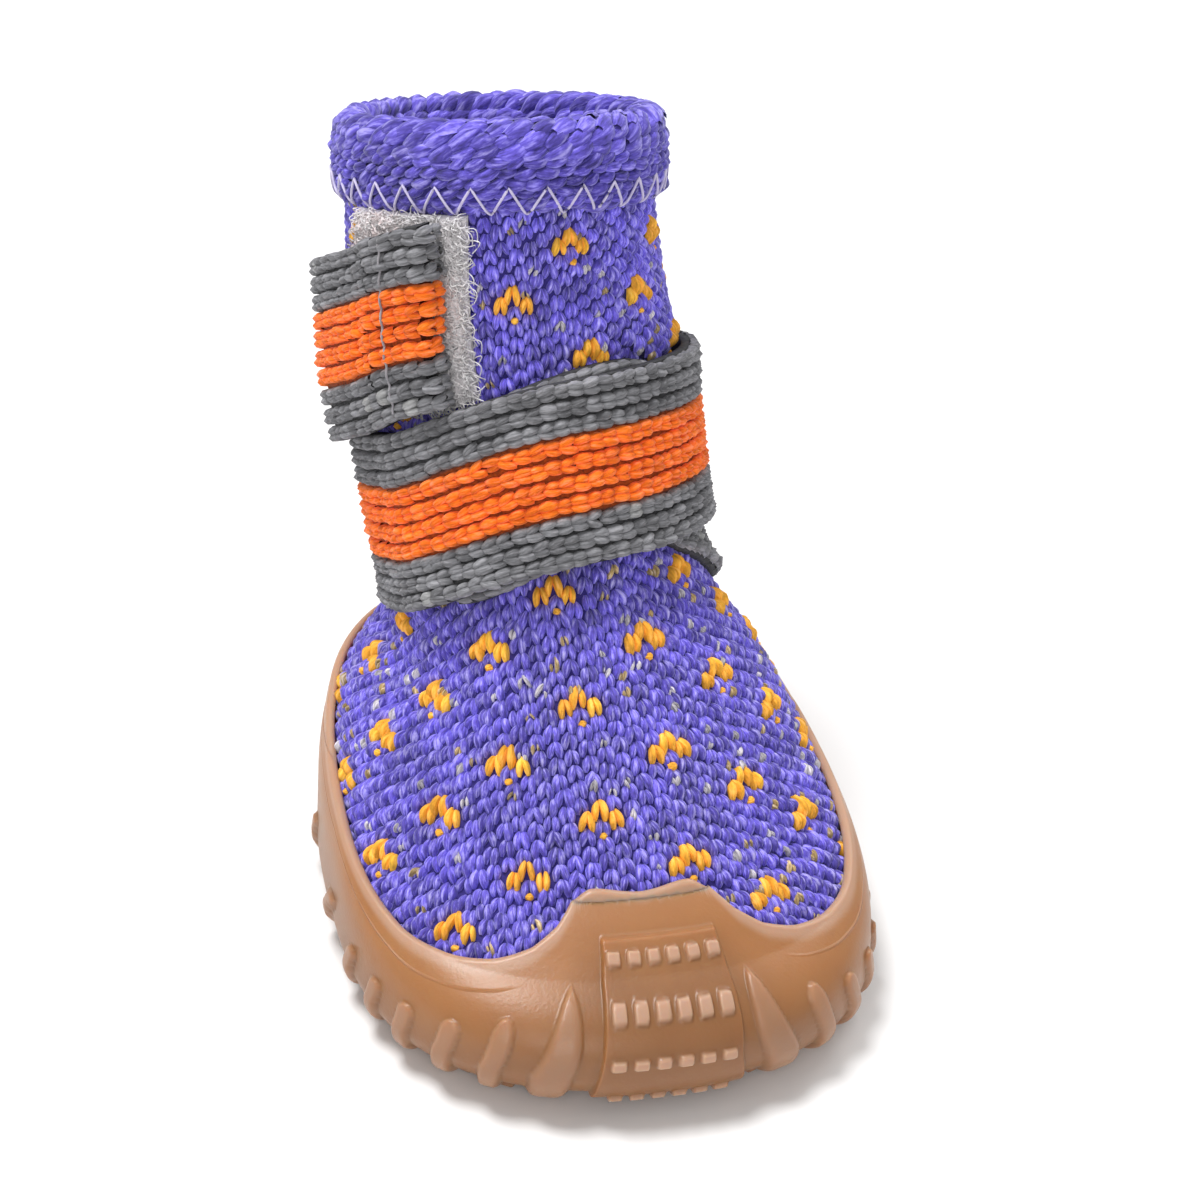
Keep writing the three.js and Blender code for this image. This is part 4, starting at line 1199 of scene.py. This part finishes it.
def make_patch_fuzz():
    """Curly fibres all over the patch, redder towards the strap's end."""
    count = FUZZ_COUNT
    u = rng.uniform(0.01, 0.99, count)
    v = rng.uniform(0.01, 0.99, count)
    angle = PATCH_ANGLE + (u * 2 - 1) * PATCH_HALF
    place = mix(*patch_edges(angle), v)
    root = shell_point(place, angle, GAP + PATCH_THICK * 0.45)
    out = shell_normal(place, angle)
    right = unit(np.cross(unit(last_point(place + 0.05, angle) - last_point(place - 0.05, angle)), out))
    up = np.cross(out, right)
    heading = rng.uniform(0, 2 * np.pi, (count, 1))
    lean = right * np.cos(heading) + up * (np.sin(heading) * 0.9 - 0.35)
    side = np.cross(out, lean)
    t = np.linspace(0, 1, FUZZ_POINTS)[None, :, None]
    reach = rng.uniform(0.8, 2.5, (count, 1, 1))
    rise = rng.uniform(0.4, 1.3, (count, 1, 1))
    curl = rng.normal(0, 0.6, (count, 1, 1))
    paths = root[:, None] + lean[:, None] * reach * t + side[:, None] * curl * np.sin(t * 3) * 1.2
    paths = paths + out[:, None] * rise * np.sin(np.pi * np.clip(t * 0.95 + 0.05, 0, 1))
    points, faces = tube(paths, 0.09, FUZZ_SIDES)
    fuzz, tree, bsdf = shader("felt_fuzz", 0.85, Sheen_Weight=0.4)
    tinted(tree, bsdf, noise(tree, 700, 2.0), 0.85, 1.0)
    obj = new_piece("patch_fuzz", "loop_patch", points, faces, fuzz)
    red = ease(0.62, 0.38, u)[:, None] * rng.uniform(0, 1, (count, 1)) * 0.3
    shade = mix(FUZZ[None], FUZZ_RED[None], red) * rng.uniform(0.65, 1.1, (count, 1))
    colour_layer(obj, "tint", np.repeat(np.clip(shade, 0, 1)[:, None], FUZZ_POINTS * FUZZ_SIDES, 1))


make_patch_ground()
make_patch_fuzz()

# Floor, light and camera


def make_stage():
    bpy.ops.mesh.primitive_plane_add(size=8, location=(0, 0, 0))
    floor = bpy.context.object
    floor.name = "studio_floor"
    mat, tree, bsdf = shader("studio_white", 0.7, Specular_IOR_Level=0.1)
    haze = noise(tree, 2.0, 2.0)
    tree.links.new(mix_colour(tree, haze, (0.86, 0.86, 0.86), (0.9, 0.9, 0.9)), bsdf.inputs["Base Color"])
    floor.data.materials.append(mat)
    world = bpy.data.worlds.new("studio_air")
    bpy.context.scene.world = world
    world.use_nodes = True
    world.node_tree.nodes["Background"].inputs["Color"].default_value = (1, 1, 1, 1)
    world.node_tree.nodes["Background"].inputs["Strength"].default_value = 0.5


def area_light(name, place, target_height, size, power_watts):
    light = bpy.data.lights.new(name, "AREA")
    light.shape = "DISK"
    light.size = size
    light.energy = power_watts
    light.color = (1, 1, 1)
    obj = bpy.data.objects.new(name, light)
    obj.location = place
    aim = Vector((0, 0, target_height)) - Vector(place)
    obj.rotation_euler = aim.to_track_quat("-Z", "Y").to_euler()
    bpy.context.scene.collection.objects.link(obj)


def make_camera():
    """The photo's angle: azimuth, elevation and roll in degrees, and the distance in metres."""
    azimuth, elevation, roll = (math.radians(v) for v in (-16.56, 32.06, 4.21))
    distance = 0.4
    back = Vector((math.sin(azimuth) * math.cos(elevation), -math.cos(azimuth) * math.cos(elevation),
                   math.sin(elevation)))
    level = Vector((math.cos(azimuth), math.sin(azimuth), 0))
    above = back.cross(level)
    right = level * math.cos(roll) + above * math.sin(roll)
    up = above * math.cos(roll) - level * math.sin(roll)
    target = Vector((-0.003, -0.002, 0.049)) + right * 0.0026 + up * 0.0019
    data = bpy.data.cameras.new("camera")
    data.lens = 89.3
    data.sensor_width = 36
    camera = bpy.data.objects.new("camera", data)
    matrix = Matrix((right, up, back)).transposed().to_4x4()
    matrix.translation = target + back * distance
    camera.matrix_world = matrix
    bpy.context.scene.collection.objects.link(camera)
    bpy.context.scene.camera = camera


make_stage()
area_light("key", (-0.28, 0.12, 1.0), 0.04, 0.4, 9.0)
area_light("rim", (0.6, 0.45, 0.8), 0.06, 0.5, 2.5)
area_light("fill", (-0.3, -0.9, 0.6), 0.04, 0.7, 3.0)
make_camera()
# The factory view transform washes the saturated colours out
bpy.context.scene.view_settings.view_transform = "Standard"
